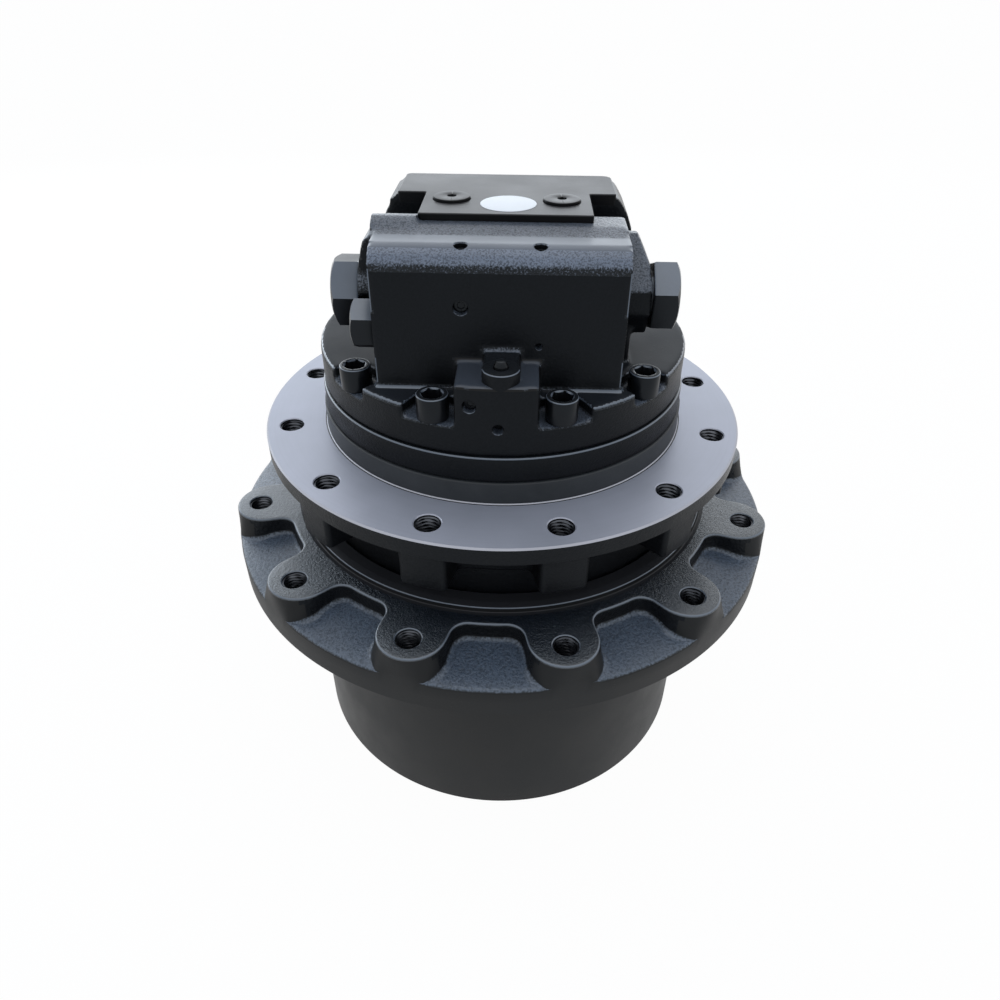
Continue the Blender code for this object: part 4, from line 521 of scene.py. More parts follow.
def cast_effect(tree, given, coordinates):
    """Sand casting: a coarse skin, fine grains and pits, as a height and a mask of raised grains."""
    place = coordinates["Object"]
    fine = noise(tree, place, given["Grain Size"], 5.0, 0.62)
    lumps = noise(tree, place, 70.0, 3.0)
    cells = node(tree, "TexVoronoi", {
        "Vector": place, "Scale": maths(tree, "MULTIPLY", given["Grain Size"], 0.55), "Randomness": 1.0},
        feature="F1")
    skin = node(tree, "Mix", {"Factor": given["Coarse"], 2: fine, 3: cells.outputs["Distance"]},
                data_type="FLOAT")
    return (maths(tree, "MULTIPLY_ADD", lumps, 0.8, skin.outputs[0]),
            remap(tree, fine, from_low=0.42, from_high=0.64))


def turning_effect(tree, given, coordinates):
    """Lathe marks: fine rings about Z from waves in the radius, broken a little by noise."""
    split = node(tree, "SeparateXYZ", {0: coordinates["Object"]}).outputs
    flat = node(tree, "CombineXYZ", {0: split[0], 1: split[1]}).outputs[0]
    radius = node(tree, "VectorMath", {0: flat}, operation="LENGTH").outputs["Value"]
    line = node(tree, "CombineXYZ", {0: radius, 2: split[2]}).outputs[0]
    marks = noise(tree, line, given["Rings"], 2.0, 0.6)
    broad = noise(tree, coordinates["Object"], 26.0, 3.0)
    bands = node(tree, "Mix", {"Factor": given["Wander"], 2: marks, 3: broad}, data_type="FLOAT")
    return marks, bands.outputs[0]


def film_effect(tree, given, coordinates):
    """Uneven paint film: broad clouds and small specks that change colour and gloss."""
    clouds = noise(tree, coordinates["Object"], given["Cloud Size"], 4.0, 0.6)
    specks = noise(tree, coordinates["Object"], 900.0, 2.0)
    return (remap(tree, clouds, from_low=0.35, from_high=0.65),
            remap(tree, specks, from_low=0.62, from_high=0.74))


def painted_top_light_effect(tree, given, coordinates):
    """Mask of painted top light: a pale colour on upward faces that stands in for the light falling on them,
    broken by the grains of the casting under it.
    """
    up = node(tree, "SeparateXYZ", {0: coordinates["Normal"]}).outputs[2]
    slope = remap(tree, up, from_low=given["Steepest"], from_high=given["Full"], kind="SMOOTHSTEP")
    clouds = noise(tree, coordinates["Object"], 28.0, 4.0, 0.6)
    broken = maths(tree, "MULTIPLY", maths(tree, "SUBTRACT", 1.0, given["Grains"]), given["Contrast"])
    first = maths(tree, "SUBTRACT", maths(tree, "MULTIPLY", slope, 1.6), broken, clamp=True)
    cloudy = maths(tree, "MULTIPLY_ADD", clouds, 0.4, 0.6)
    return (maths(tree, "MULTIPLY", first, cloudy, clamp=True),)


# Node groups and materials, by name
GROUPS = {}
LOOKS = {}
SKY_TINT = (0.80, 0.90, 1.0, 1.0)


def shader(name, rough, metallic, specular=0.5, tint=None):
    """Material with a Principled shader whose constant values are set on its own sockets."""
    material = bpy.data.materials.new(name)
    material.use_nodes = True
    tree = material.node_tree
    body = tree.nodes["Principled BSDF"]
    body.inputs["Roughness"].default_value = rough
    body.inputs["Metallic"].default_value = metallic
    body.inputs["Specular IOR Level"].default_value = specular
    if tint:
        body.inputs["Specular Tint"].default_value = tint
    return material, tree, body


def effect(tree, name, **values):
    """Outputs of a shared group, with its inputs given by name."""
    inputs = {key.replace("_", " "): value for key, value in values.items()}
    return node(tree, "Group", inputs, node_tree=GROUPS[name]).outputs


def with_painted_top_light(tree, colour, painted_light_colour, contrast, grains=0.5, steepest=0.15, gloss=0.0, full=0.9):
    """Colour with a pale painted top light laid over it on upward faces, which also shine more."""
    mask = effect(tree, "Painted top light", Grains=grains, Contrast=contrast, Steepest=steepest, Full=full)["Up"]
    if gloss:
        body = tree.nodes["Principled BSDF"]
        body.inputs["Coat Roughness"].default_value = 0.30
        tree.links.new(remap(tree, mask, 0.0, gloss), body.inputs["Coat Weight"])
    return mixed(tree, mask, colour, painted_light_colour)


def dressed(made, colour, mask, roughness, height=None, strength=1.0, depth=0.0):
    """Material with a colour, a roughness between two values by a mask, and a bump."""
    material, tree, body = made
    tree.links.new(colour, body.inputs["Base Color"])
    tree.links.new(remap(tree, mask, *roughness), body.inputs["Roughness"])
    if height is not None:
        raised = node(tree, "Bump", {"Height": height, "Strength": strength, "Distance": depth})
        tree.links.new(raised.outputs[0], body.inputs["Normal"])
    return material


def painted_casting(name, dark, light, rough, grain, depth, specular, coarse, painted_light_colour, contrast, gloss,
                    steepest=0.15, full=0.9):
    """Paint over sand-cast iron: the grains show through in a lighter colour, and the painted top light lies
    mostly on the raised ones as a painted highlight.
    """
    made = shader(name, rough, 0.0, specular, SKY_TINT)
    tree = made[1]
    cast = effect(tree, "Sand casting", Grain_Size=grain, Coarse=coarse)
    clouds = effect(tree, "Paint film", Cloud_Size=14.0)["Clouds"]
    worn = maths(tree, "MULTIPLY_ADD", cast["Grains"], 0.55, maths(tree, "MULTIPLY", clouds, 0.45))
    colour = with_painted_top_light(tree, mixed(tree, worn, dark, light), painted_light_colour, contrast, cast["Grains"], steepest,
                     gloss, full)
    return dressed(made, colour, clouds, (rough - 0.05, rough + 0.08), cast["Height"], 1.0, depth)


def painted_smooth(name, dark, light, rough, specular=0.1, tint=None, painted_light_colour=None, gloss=0.0, steepest=0.3):
    """Paint over a machined or forged surface: a thin film with clouds and a few specks."""
    made = shader(name, rough, 0.0, specular, tint)
    film = effect(made[1], "Paint film", Cloud_Size=22.0)
    colour = mixed(made[1], film["Clouds"], dark, light)
    if painted_light_colour:
        colour = with_painted_top_light(made[1], colour, painted_light_colour, 0.15, steepest=steepest, gloss=gloss)
    return dressed(made, colour, film["Clouds"], (rough - 0.04, rough + 0.06), film["Specks"], 0.35, 0.00012)


def turned_metal(name, dark, light, rough, rings, depth, wander, metallic):
    """Machined metal with lathe marks about the axis."""
    made = shader(name, rough, metallic)
    marks = effect(made[1], "Turning marks", Rings=rings, Wander=wander)
    return dressed(made, mixed(made[1], marks["Bands"], dark, light), marks["Bands"],
                   (rough - 0.06, rough + 0.08), marks["Height"], 0.5, depth)


def plain_metal(name, dark, light, rough):
    """Ground or forged metal with faint clouds."""
    made = shader(name, rough, 1.0)
    clouds = effect(made[1], "Paint film", Cloud_Size=60.0)["Clouds"]
    return dressed(made, mixed(made[1], clouds, dark, light), clouds, (rough - 0.04, rough + 0.05))


# Sizes and colours that a user would change

def metres(label, text, value):
    return FloatProperty(name=label, description=text, default=value, unit="LENGTH")


def shade(label, text, value):
    return FloatVectorProperty(name=label, description=text, subtype="COLOR", size=3, default=value,
                               min=0.0, max=1.0)


class FinalDriveSizes(bpy.types.PropertyGroup):
    drum_radius: metres("Drum radius", "Outside of the hub's drum", 0.128)
    rim_radius: metres("Rim radius", "Outside of the sprocket flange", 0.167)
    lug_half_width: metres("Lug half width", "Half the width of a sprocket lug", 0.0185)
    petal_inner_radius: metres("Petal inner radius", "Inner wall between the lugs", 0.1352)
    flange_radius: metres("Frame flange radius", "Outside of the frame flange", 0.140)
    neck_radius: metres("Neck radius", "Neck above the frame flange", 0.105)
    thread_depth: metres("Thread depth", "Depth of the M14 thread ridges", 0.0007)
    skin_size: metres("Cast skin size", "Voxel size of the cast body's skin", 0.0012)
    skin_rounds: IntProperty(name="Cast skin rounds", description="Smoothing steps of the cast skin",
                             default=4, min=0)
    sticker_radius: metres("Sticker radius", "Round blank sticker on the slab", 0.014)


class FinalDriveColours(bpy.types.PropertyGroup):
    paint_dark: shade("Black paint", "Black paint in the shade", (0.0028, 0.0030, 0.0036))
    paint_light: shade("Black paint, worn", "Black paint where it is thin", (0.0055, 0.0060, 0.0072))
    cast_light: shade("Cast paint grains", "Raised grains of the painted casting", (0.0065, 0.0075, 0.0095))
    drum_dark: shade("Drum paint", "Grey paint of the drum", (0.006, 0.0066, 0.0072))
    drum_light: shade("Drum paint, light", "Grey paint of the drum where it is thin", (0.010, 0.011, 0.012))
    silver_dark: shade("Flange steel", "Machined face of the frame flange", (0.31, 0.325, 0.375))
    silver_light: shade("Flange steel, bright", "Bright turns of the machined face", (0.45, 0.465, 0.545))
    sticker: shade("Sticker", "Blank white sticker", (0.80, 0.81, 0.83))
    floor: shade("Floor", "Pale studio floor", (0.86, 0.86, 0.86))


# Paint over castings: name, roughness, grain size and depth, specular, share of coarse pits, colour of the
# painted top light on upward faces, how far the grains break it, coat, and the slopes where that painted light
# starts and is full
CASTINGS = {
    "black_cast": ("Black paint on rough casting", 0.38, 1150.0, 0.0018, 0.35, 0.25, (0.115, 0.138, 0.180),
                   1.15, 1.0, 0.0, 0.75),
    "black_round": ("Black paint on the cast front round", 0.38, 1150.0, 0.0018, 0.35, 0.25,
                    (0.205, 0.245, 0.325), 1.1, 1.0, -0.05, 0.62),
    "drum_cast": ("Grey paint on the hub casting", 0.40, 700.0, 0.0010, 0.14, 0.35, (0.04, 0.05, 0.065),
                  0.8, 0.6),
    "petal": ("Grey paint on the hub's petals", 0.36, 800.0, 0.0009, 0.5, 0.3, (0.074, 0.102, 0.148),
              1.05, 1.0),
    "lug": ("Grey paint on the lug faces", 0.24, 1000.0, 0.0007, 1.0, 0.25, (0.007, 0.011, 0.018), 0.6, 1.0),
}
# Black paint over smooth faces: name, roughness, specular, its tint, colour of the painted top light on upward
# faces, coat, and the slope where that painted light starts
SMOOTHS = {
    "black_ledge": ("Black paint on the milled ledge", 0.34, 0.3, SKY_TINT, (0.088, 0.108, 0.144), 0.85, 0.0),
    "black_lobe": ("Black paint on the lobe tops", 0.42, 0.08, None, (0.016, 0.019, 0.024), 0.06),
    "black_tab": ("Black paint on the tab", 0.38, 0.2, None, (0.050, 0.060, 0.078), 0.5),
    "black_smooth": ("Satin black paint on machined faces", 0.36, 0.11, None, (0.030, 0.030, 0.033), 0.33),
    "black_cap": ("Satin black paint on forged caps", 0.34, 0.22, SKY_TINT, (0.11, 0.135, 0.175), 1.6, 0.0),
    "black_bolt": ("Black paint on screw heads", 0.27, 0.20, SKY_TINT, (0.012, 0.014, 0.017), 0.4),
}
# Other smooth paints, with their two colours before the roughness
OTHER_SMOOTHS = {
    # The edge finish is a painted highlight: pale colours and a painted top light on rounded edges stand in for
    # highlight lines.
    "edge": ("Painted highlight on edges", (0.055, 0.066, 0.084), (0.085, 0.100, 0.125), 0.28, 0.5, SKY_TINT,
             (0.12, 0.14, 0.17), 1.0),
    "neck": ("Painted neck", (0.022, 0.025, 0.028), (0.036, 0.039, 0.043), 0.42, 0.30),
    "friction": ("Friction lining", (0.07, 0.055, 0.042), (0.11, 0.088, 0.070), 0.85),
}
# Bare metals: name, the two colours and roughness
METALS = {
    "thread": ("Oiled thread", (0.05, 0.055, 0.065), (0.13, 0.14, 0.16), 0.30),
    "steel": ("Ground steel", (0.42, 0.42, 0.44), (0.60, 0.60, 0.62), 0.24),
    "dark_steel": ("Black oxide steel", (0.05, 0.05, 0.055), (0.11, 0.11, 0.115), 0.36),
    "spring": ("Spring steel", (0.16, 0.16, 0.17), (0.26, 0.26, 0.27), 0.30),
    "bronze": ("Bronze", (0.36, 0.22, 0.10), (0.52, 0.34, 0.16), 0.33),
}


class FINALDRIVE_OT_finishes(bpy.types.Operator):
    """Make the paint, casting and metal finishes"""
    bl_idname = "final_drive.finishes"
    bl_label = "Finishes"
    bl_options = {"REGISTER", "UNDO"}

    def execute(self, context):
        make_group("Sand casting", {"Grain Size": 420.0, "Coarse": 0.5}, ("Height", "Grains"), cast_effect)
        make_group("Turning marks", {"Rings": 900.0, "Wander": 0.4}, ("Height", "Bands"), turning_effect)
        make_group("Paint film", {"Cloud Size": 18.0}, ("Clouds", "Specks"), film_effect)
        make_group("Painted top light", {"Grains": 0.5, "Contrast": 0.4, "Steepest": 0.15, "Full": 0.9}, ("Up",),
                   painted_top_light_effect)
        colours = context.scene.final_drive_colours
        dark, light, grain = colours.paint_dark, colours.paint_light, colours.cast_light
        for look, (name, *values) in CASTINGS.items():
            LOOKS[look] = painted_casting(name, dark, grain, *values)
        LOOKS["black_satin"] = painted_casting("Black paint on fine casting", dark, light, 0.36, 900.0, 0.0003,
                                               0.14, 0.15, (0.010, 0.012, 0.015), 0.4, 0.35)
        for look, (name, *values) in SMOOTHS.items():
            LOOKS[look] = painted_smooth(name, dark, light, *values)
        for look, values in OTHER_SMOOTHS.items():
            LOOKS[look] = painted_smooth(*values)
        for look, values in METALS.items():
            LOOKS[look] = plain_metal(*values)
        LOOKS["drum"] = painted_smooth("Grey paint on the drum", colours.drum_dark, colours.drum_light,
                                       0.46, 0.19)
        LOOKS["sticker"] = painted_smooth("Blank white sticker", colours.sticker, (0.86, 0.87, 0.88), 0.42)
        LOOKS["silver"] = turned_metal("Turned flange steel", colours.silver_dark, colours.silver_light, 0.40,
                                       1100.0, 0.00003, 0.75, 0.40)
        # Painted highlight: a brighter turned steel for the chamfers at the flange's rim and neck.
        LOOKS["bright_edge"] = turned_metal("Painted highlight on turned edges", (0.34, 0.34, 0.37), (0.50, 0.50, 0.55), 0.38,
                                            300.0, 0.00002, 0.8, 0.3)
        return {"FINISHED"}


BOLT_PLACES = [about_z(BOLT_CIRCLE, angle) for angle in BOLT_ANGLES]


def ring_places(radius, turn):
    """Places of the holes in a ring of lugs or bosses."""
    return [about_z(radius, turn + 360.0 / RING_COUNT * k) for k in range(RING_COUNT)]


def m14_threads(name, places, low, high, depth):
    """Threaded bushes: the wall is r0 less depth times a triangle wave of z / pitch less the turn."""
    steps, rows_per_turn = 24, 6
    turn = turns(steps)[:, None]
    height = np.linspace(low, high, int((high - low) / THREAD_PITCH * rows_per_turn))[None]
    wave = np.abs(np.mod(height / THREAD_PITCH - turn / (2.0 * pi), 1.0) * 2.0 - 1.0)
    inner = M14_OUTSIDE - 0.0002 - depth * wave
    radius = np.concatenate([inner, np.full((steps, 2), M14_OUTSIDE)], axis=1)
    level = np.concatenate([np.repeat(height, steps, 0), np.tile([[high, low]], (steps, 1))], axis=1)
    return copies_at(name, grid_mesh(name, turned_grid(radius, level, turn), True, True), places)


def drills(places, radius, low, high, chamfer, steps=32):
    """Hole cutters with a countersink at the top."""
    profile = [(0.0, low), (radius, low), (radius, high - chamfer),
               (radius + chamfer * 2.0, high + chamfer), (0.0, high + chamfer)]
    return copies_at("drills", lathe("drill", profile, steps), places)


class FINALDRIVE_OT_hub(bpy.types.Operator):
    """Build the hub: drum, sprocket flange with its lugs, collar, ring gear and threads"""
    bl_idname = "final_drive.hub"
    bl_label = "Hub"
    bl_options = {"REGISTER", "UNDO"}

    def execute(self, context):
        sizes = context.scene.final_drive_sizes
        self.casting(sizes)
        threads = m14_threads("lug_threads", ring_places(LUG_CIRCLE, LUG_TURN), SEAT_Z + 0.0015,
                              LUG_TOP_Z - 0.0012, sizes.thread_depth)
        piece("lug_threads", threads, "thread", HUB_BODY, "hub", "hub")
        self.ring_gear()
        return {"FINISHED"}

    def casting(self, sizes):
        """Turned drum and collar, joined by the flange whose lugs follow one scalloped outline."""
        rim, drum, root, width = (sizes.rim_radius, sizes.drum_radius, sizes.petal_inner_radius,
                                  sizes.lug_half_width)
        outline, normal, outer, inner, wide = scallops(RING_COUNT, LUG_TURN, rim, width, width,
                                                       rim - 0.0005 - width, root, 0.009, 0.0045)
        rim_way = np.c_[np.cos(outer), np.sin(outer)]
        gap = np.hypot(*(rim_way * rim - wide).T)
        edge, foot = np.minimum(0.0022, 0.42 * gap), np.minimum(0.0030, 0.42 * gap)
        rim_round = []
        for angle in np.linspace(0.0, pi / 2.0, ROUND_STEPS + 1):
            spot = rim_way * (rim - edge * (1.0 - cos(angle)))[:, None]
            rim_round.append(at_height(spot, PETAL_RIM_Z - edge * (1.0 - sin(angle))))
        start = rim_way * (rim - edge)[:, None]
        end = wide + normal * foot[:, None]
        inwards = np.clip((np.hypot(*end.T) - root) / (rim - root), 0.0, 1.0)
        end_floor = PETAL_FOOT_Z + (PETAL_RIM_Z - PETAL_FOOT_Z) * inwards
        floor = between(at_height(start, PETAL_RIM_Z), at_height(end, end_floor), QUARTERS)
        foot_round = hollow_columns(wide, normal, foot, end_floor, 1.0)
        top_round = edge_columns(outline, normal, LUG_EDGE, LUG_TOP_Z, 1.0)
        wall = between(foot_round[-1], top_round[0], QUARTERS)
        land_end = np.c_[np.cos(inner), np.sin(inner)] * LAND_RADIUS
        land = between(at_height(outline - normal * LUG_EDGE, LUG_TOP_Z), at_height(land_end, LUG_TOP_Z),
                       (0.3, 0.65))
        drum_line = rounded([(drum - 0.0015, 0.0, 0), (drum, 0.0015, 0), (drum, SEAT_Z, 0.003),
                             (rim - 0.0009, SEAT_Z, 0)])
        drum_line = np.vstack([drum_line[:2], np.c_[np.full(5, drum), np.linspace(0.004, SEAT_Z - 0.008, 5)],
                               drum_line[2:]])
        collar = rounded([(LAND_RADIUS, LUG_TOP_Z, 0), (0.1268, LUG_TOP_Z, 0.0008),
                          (0.1262, LUG_TOP_Z + 0.0028, 0.0008), (0.1222, HUB_TOP_Z, 0.0006),
                          (0.1160, HUB_TOP_Z, 0)])
        bore = [(0.1160, 0.1585), (0.1050, 0.1585), (0.1050, 0.1297), (0.098, 0.1297), (0.098, 0.1220),
                (0.1050, 0.1220), (0.1050, 0.0900), (0.1156, 0.0900), (0.1156, 0.0143), (0.1183, 0.0143),
                (0.1183, 0.0045), (0.121, 0.0045), (0.121, 0.0015), (0.1183, 0.0015), (0.1183, 0.0)]
        rim_side = [(rim, SEAT_Z + 0.0009), (rim, 0.5 * (SEAT_Z + PETAL_RIM_Z))]
        mesh = scalloped_mesh("hub_casting", circle_columns(drum_line, outer) + circle_columns(rim_side, outer)
                              + rim_round + floor + foot_round + wall + top_round + land
                              + circle_columns(collar, inner) + circle_columns(bore, inner))
        mesh = carved(mesh, ("DIFFERENCE", drills(ring_places(LUG_CIRCLE, LUG_TURN), M14_DRILL,
                                                  SEAT_Z - 0.002, LUG_TOP_Z, M14_CHAMFER)))
        item = piece("hub_casting", mesh, "drum drum_cast lug black_smooth steel edge petal",
                     HUB_BODY, "hub", "hub")
        # Rule five gives the rounded edges of the lug faces and the collar the edge finish, a painted
        # highlight; rule six gives the petal floors a strong painted top light.
        zoned(item.data,
              lambda f: (f.z > SEAT_Z + 0.001) & (f.r > LAND_END) & ((f.r < 0.1590) | (f.nz > 0.55)),
              lambda f: (f.z > LUG_TOP_Z - 0.0014) & (f.r > LAND_END) & (f.r < rim - 0.0005),
              lambda f: (f.z > SEAT_Z) & (f.r <= LAND_END),
              lambda f: (f.r < 0.1185) & (f.z < HUB_TOP_Z - 0.0005) & (f.z > 0.005),
              lambda f: (f.nz > 0.25) & (f.nz < 0.93) & (
                  ((f.z > LUG_TOP_Z - 0.0012) & (f.z < LUG_TOP_Z - 0.00005) & (f.r > LAND_END))
                  | ((f.z > LUG_TOP_Z + 0.002) & (f.r > 0.1255))),
              lambda f: (f.nz > 0.45) & (f.z > PETAL_RIM_Z - 0.003) & (f.z < PETAL_FOOT_Z + 0.002)
              & (f.r > LAND_END))

    def ring_gear(self):
        """Annulus with inward teeth: each tooth's half angle grows from tip to root."""
        tip, base, outer = 0.1073, 0.1141, 0.1155
        shares = np.array([-0.5, -0.30, -0.13, 0.13, 0.30])
        angles = np.radians((np.arange(GEAR_TEETH)[:, None] + shares[None]) * 360.0 / GEAR_TEETH).ravel()
        radii = np.tile([base, base, tip, tip, base], GEAR_TEETH)[:, None]
        way = np.c_[np.cos(angles), np.sin(angles)]
        columns = [at_height(way * radius, height) for radius, height in (
            (outer, GEAR_LOW), (outer, GEAR_HIGH), (radii, GEAR_HIGH), (radii, GEAR_LOW))]
        piece("ring_gear", scalloped_mesh("ring_gear", columns), "steel", HUB_BODY, "hub", "hub")


class FINALDRIVE_OT_cover(bpy.types.Operator):
    """Build the cover, its snap ring and its three plugs"""
    bl_idname = "final_drive.cover"
    bl_label = "Cover"
    bl_options = {"REGISTER", "UNDO"}

    def execute(self, context):
        profile = rounded([(0.0, 0.0, 0), (0.104, 0.0, 0.001), (0.108, 0.0012, 0.001), (0.108, 0.0048, 0),
                           (0.1178, 0.0048, 0.0004), (0.1178, 0.0140, 0.0004), (0.098, 0.0140, 0.001),
                           (0.094, 0.0115, 0.001), (0.012, 0.0115, 0), (0.010, 0.0162, 0), (0.0, 0.0162, 0)])
        places = [about_z(0.078, angle) for angle in COVER_PLUG_ANGLES]
        seat = lathe("seat", [(0.0, -0.005), (0.0150, -0.005), (0.0143, 0.0006), (0.0143, 0.0055),
                              (0.0101, 0.0055), (0.0101, 0.02), (0.0, 0.02)], SMALL_STEPS)
        mesh = carved(lathe("cover_plate", profile), ("DIFFERENCE", copies_at("seats", seat, places)))
        piece("cover_plate", mesh, "drum_cast", HUB_BODY, "cover", "cover")
        stations = 97
        turn = np.radians(np.linspace(-81.0, 261.0, stations))[:, None]
        section = np.array(rectangle(0.1105, 0.1206, 0.0018, 0.0042))
        last = 4 * stations
        quads = quads_of(stations, 4, False, True).reshape(-1, 4).tolist()
        ends = [(0, 1, 2, 3), (last - 1, last - 2, last - 3, last - 4)]
        grid = turned_grid(section[:, 0], section[:, 1], turn)
        piece("cover_ring", mesh_from("cover_ring", grid, quads + ends), "spring", HUB_BODY,
              "cover_snap_ring", "cover_snap_ring")
        for index, place in enumerate(places):
            turned_over = place @ Matrix.Translation((0, 0, 0.001)) @ Matrix.Rotation(pi, 4, "X")
            name, plug = "cover_plug_head_%d" % (index + 1), "cover_plug_%d" % (index + 1)
            head = socket_screw(name, 0.0139, 0.0042, 0.0097, 0.0100, 0.0100, 0.0050, 0.0006)
            piece(name, moved(head, turned_over), "dark_steel", HUB_BODY, plug, plug)
        return {"FINISHED"}


def socket_screw(name, head, head_height, shank, length, flats, depth, edge, steps=SMALL_STEPS):
    """Socket screw with its head's top at z = 0: turned outside, hexagon inside.

    The rings run from the socket's floor up its hexagon wall, over the rounded rim and down the shank.
    """
    turn = turns(steps)
    hexagon = hexagon_radius(turn, flats)
    opening = np.maximum(hexagon, flats / 2.0 * 1.13)
    rings = [(np.zeros(steps), -depth - flats * 0.12), (hexagon * 0.96, -depth), (hexagon, -depth + 0.0002),
             (hexagon, -edge * 0.9), (opening, -edge * 0.1)]
    round_line = rounded([(flats / 2.0 * 1.16, 0.0, 0), (head, 0.0, edge), (head, -head_height, edge * 0.4),
                          (shank, -head_height, 0), (shank, -length, 0), (0.0, -length, 0)])
    radius = np.stack([ring[0] for ring in rings], axis=1)
    radius = np.concatenate([radius, np.tile(round_line[:, 0], (steps, 1))], axis=1)
    height = np.r_[[ring[1] for ring in rings], round_line[:, 1]]
    return grid_mesh(name, turned_grid(radius, height, turn[:, None]))


class FINALDRIVE_OT_spindle(bpy.types.Operator):
    """Build the frame side: machined flange, pocketed boss ring, neck, case flange and threads"""
    bl_idname = "final_drive.spindle"
    bl_label = "Spindle"
    bl_options = {"REGISTER", "UNDO"}

    def execute(self, context):
        sizes = context.scene.final_drive_sizes
        self.casting(sizes)
        threads = m14_threads("frame_threads", ring_places(FRAME_CIRCLE, BOSS_TURN), FLANGE_FACE_Z - 0.0255,
                              FLANGE_FACE_Z - 0.0012, sizes.thread_depth)
        piece("frame_threads", threads, "thread", FRAME_BODY, "spindle", "spindle")
        self.case()
        return {"FINISHED"}

    def casting(self, sizes):
        """Turned flange, neck and bore over a boss ring that follows one scalloped outline."""
        face, low, foot = FLANGE_FACE_Z, FLANGE_FACE_Z - 0.0105, FLANGE_FACE_Z - 0.033
        rim, neck = sizes.flange_radius, sizes.neck_radius
        outline, normal, outer, inner, _ = scallops(RING_COUNT, BOSS_TURN, 0.137, 0.0125, 0.003, 0.13366,
                                                    0.118, 0.006)
        under = np.minimum(0.0025, 0.4 * (rim - np.hypot(*outline.T)))
        hollow = hollow_columns(outline, normal, under, low, -1.0)[::-1]
        bottom = edge_columns(outline, normal, 0.0018, foot, -1.0)
        wall = between(bottom[0], hollow[0], (0.35, 0.7))
        ceiling = between(hollow[-1], circle_columns([(rim - 0.0008, low)], outer)[0], (0.33, 0.66))
        faces = rounded([(rim - 0.0008, low, 0), (rim, low + 0.0008, 0), (rim, face - 0.0009, 0),
                         (rim - 0.0009, face, 0)])
        neck_line = rounded([(neck + 0.0012, face, 0), (neck, face, 0.0009), (neck, NECK_TOP_Z, 0.0007),
                             (0.0985, NECK_TOP_Z, 0)])
        inside = [(0.072, NECK_TOP_Z), (0.072, 0.112), (0.032, 0.112), (0.032, 0.100), (0.0825, 0.100),
                  (0.0825, 0.1517), (0.0905, 0.1517), (0.0905, 0.1692), (0.1110, 0.1692), (0.1110, 0.168),
                  (0.1142, 0.168), (0.1142, foot)]
        mesh = scalloped_mesh("spindle_casting", bottom[::-1] + wall + hollow + ceiling
                              + circle_columns(faces, outer) + circle_columns(neck_line, inner)
                              + circle_columns(inside, inner))
        holes = drills(ring_places(FRAME_CIRCLE, BOSS_TURN), M14_DRILL, face - 0.026, face, M14_CHAMFER)
        mesh = carved(mesh, ("DIFFERENCE", holes,
                             drills(BOLT_PLACES, BOLT_HOLE, NECK_TOP_Z - 0.016, NECK_TOP_Z, 0.0002, 16)))
        item = piece("spindle_casting", mesh, "black_satin silver neck steel bright_edge",
                     FRAME_BODY, "spindle", "spindle")
        # Rule four gives the chamfers at the rim and the neck a painted highlight.
        zoned(item.data,
              lambda f: (f.z > face - 0.0010) & (f.r > neck + 0.0002) & (f.nz > 0.3),
              lambda f: (f.z > face - 0.0002) & (f.r < neck + 0.0012),
              lambda f: ((f.r < 0.0980) & (f.z < NECK_TOP_Z - 0.0002)) | (f.r < 0.0725)
              | ((f.z < foot - 0.001) & (f.r < 0.1105)),
              lambda f: (f.nz > 0.25) & (f.nz < 0.93) & (f.z > face - 0.0012) & (f.z < face + 0.002)
              & ((f.r > rim - 0.002) | (np.abs(f.r - neck) < 0.0012)))

    def case(self):
        """Motor case: the black ring under the valve block, and the cup inside the neck."""
        ring = lathe("case_rim", rounded([
            (0.0640, NECK_TOP_Z + 0.0003, 0), (CASE_RADIUS, NECK_TOP_Z + 0.0003, 0.0008),
            (CASE_RADIUS, CASE_TOP_Z, 0.0012), (0.0640, CASE_TOP_Z, 0)], closed=True), closed=True)
        ring = carved(ring, ("DIFFERENCE", drills(BOLT_PLACES, BOLT_HOLE, NECK_TOP_Z - 0.01,
                                                  CASE_TOP_Z + 0.01, 0.0, 16)))
        cup = lathe("case_cup", [
            (0.024, 0.1123), (0.0717, 0.1123), (0.0717, CASE_TOP_Z - 0.001), (0.0620, CASE_TOP_Z - 0.001),
            (0.0620, 0.192), (0.058, 0.192), (0.058, 0.1203), (0.024, 0.1203)], 72, closed=True)
        cup = carved(cup, ("DIFFERENCE", drills([turned_to(0.0, 0.038, 0.0)], 0.0077, 0.105, 0.130, 0.0, 16)))
        item = piece("motor_case_rim", joined("motor_case_rim", [ring, cup]), "black_satin edge",
                     FRAME_BODY, "motor_case", "motor_case")
        # The rounded top edge of the case rim gets the edge finish, a painted highlight.
        zoned(item.data, lambda f: (f.nz > 0.3) & (f.nz < 0.95) & (f.r > 0.1025))


def hexagon_cap(name, flats, height, turn, shank=0.0, shank_length=0.0, hollow=0.0, end_wall=0.0, crown=0.0,
                steps=72):
    """Hexagon cap from z = 0 to its height, with the usual 30 degree chamfer and maybe a hollow shank.

    The chamfer cone meets the wall at height - (hexagon - flat circle) / tan 60 at each angle.
    """
    angle = turns(steps)
    wall = hexagon_radius(angle, flats)
    flat = flats * 0.475
    meet = height - crown - (wall - flat) / tan(radians(60.0))
    rings = [(0.0, height), (0.55 * flat, height), (flat, height - crown), (wall, meet), (wall, 0.0008),
             (wall - 0.0005, 0.0)]
    if shank:
        rings += [(shank, 0.0), (shank, -shank_length), (hollow, -shank_length), (hollow, height - end_wall),
                  (0.0, height - end_wall)]
    else:
        rings += [(0.0, 0.0)]
    radius, lift = (np.stack([np.broadcast_to(ring[k], steps) for ring in rings], axis=1) for k in (0, 1))
    return grid_mesh(name, turned_grid(radius, lift, angle[:, None] + radians(turn)))


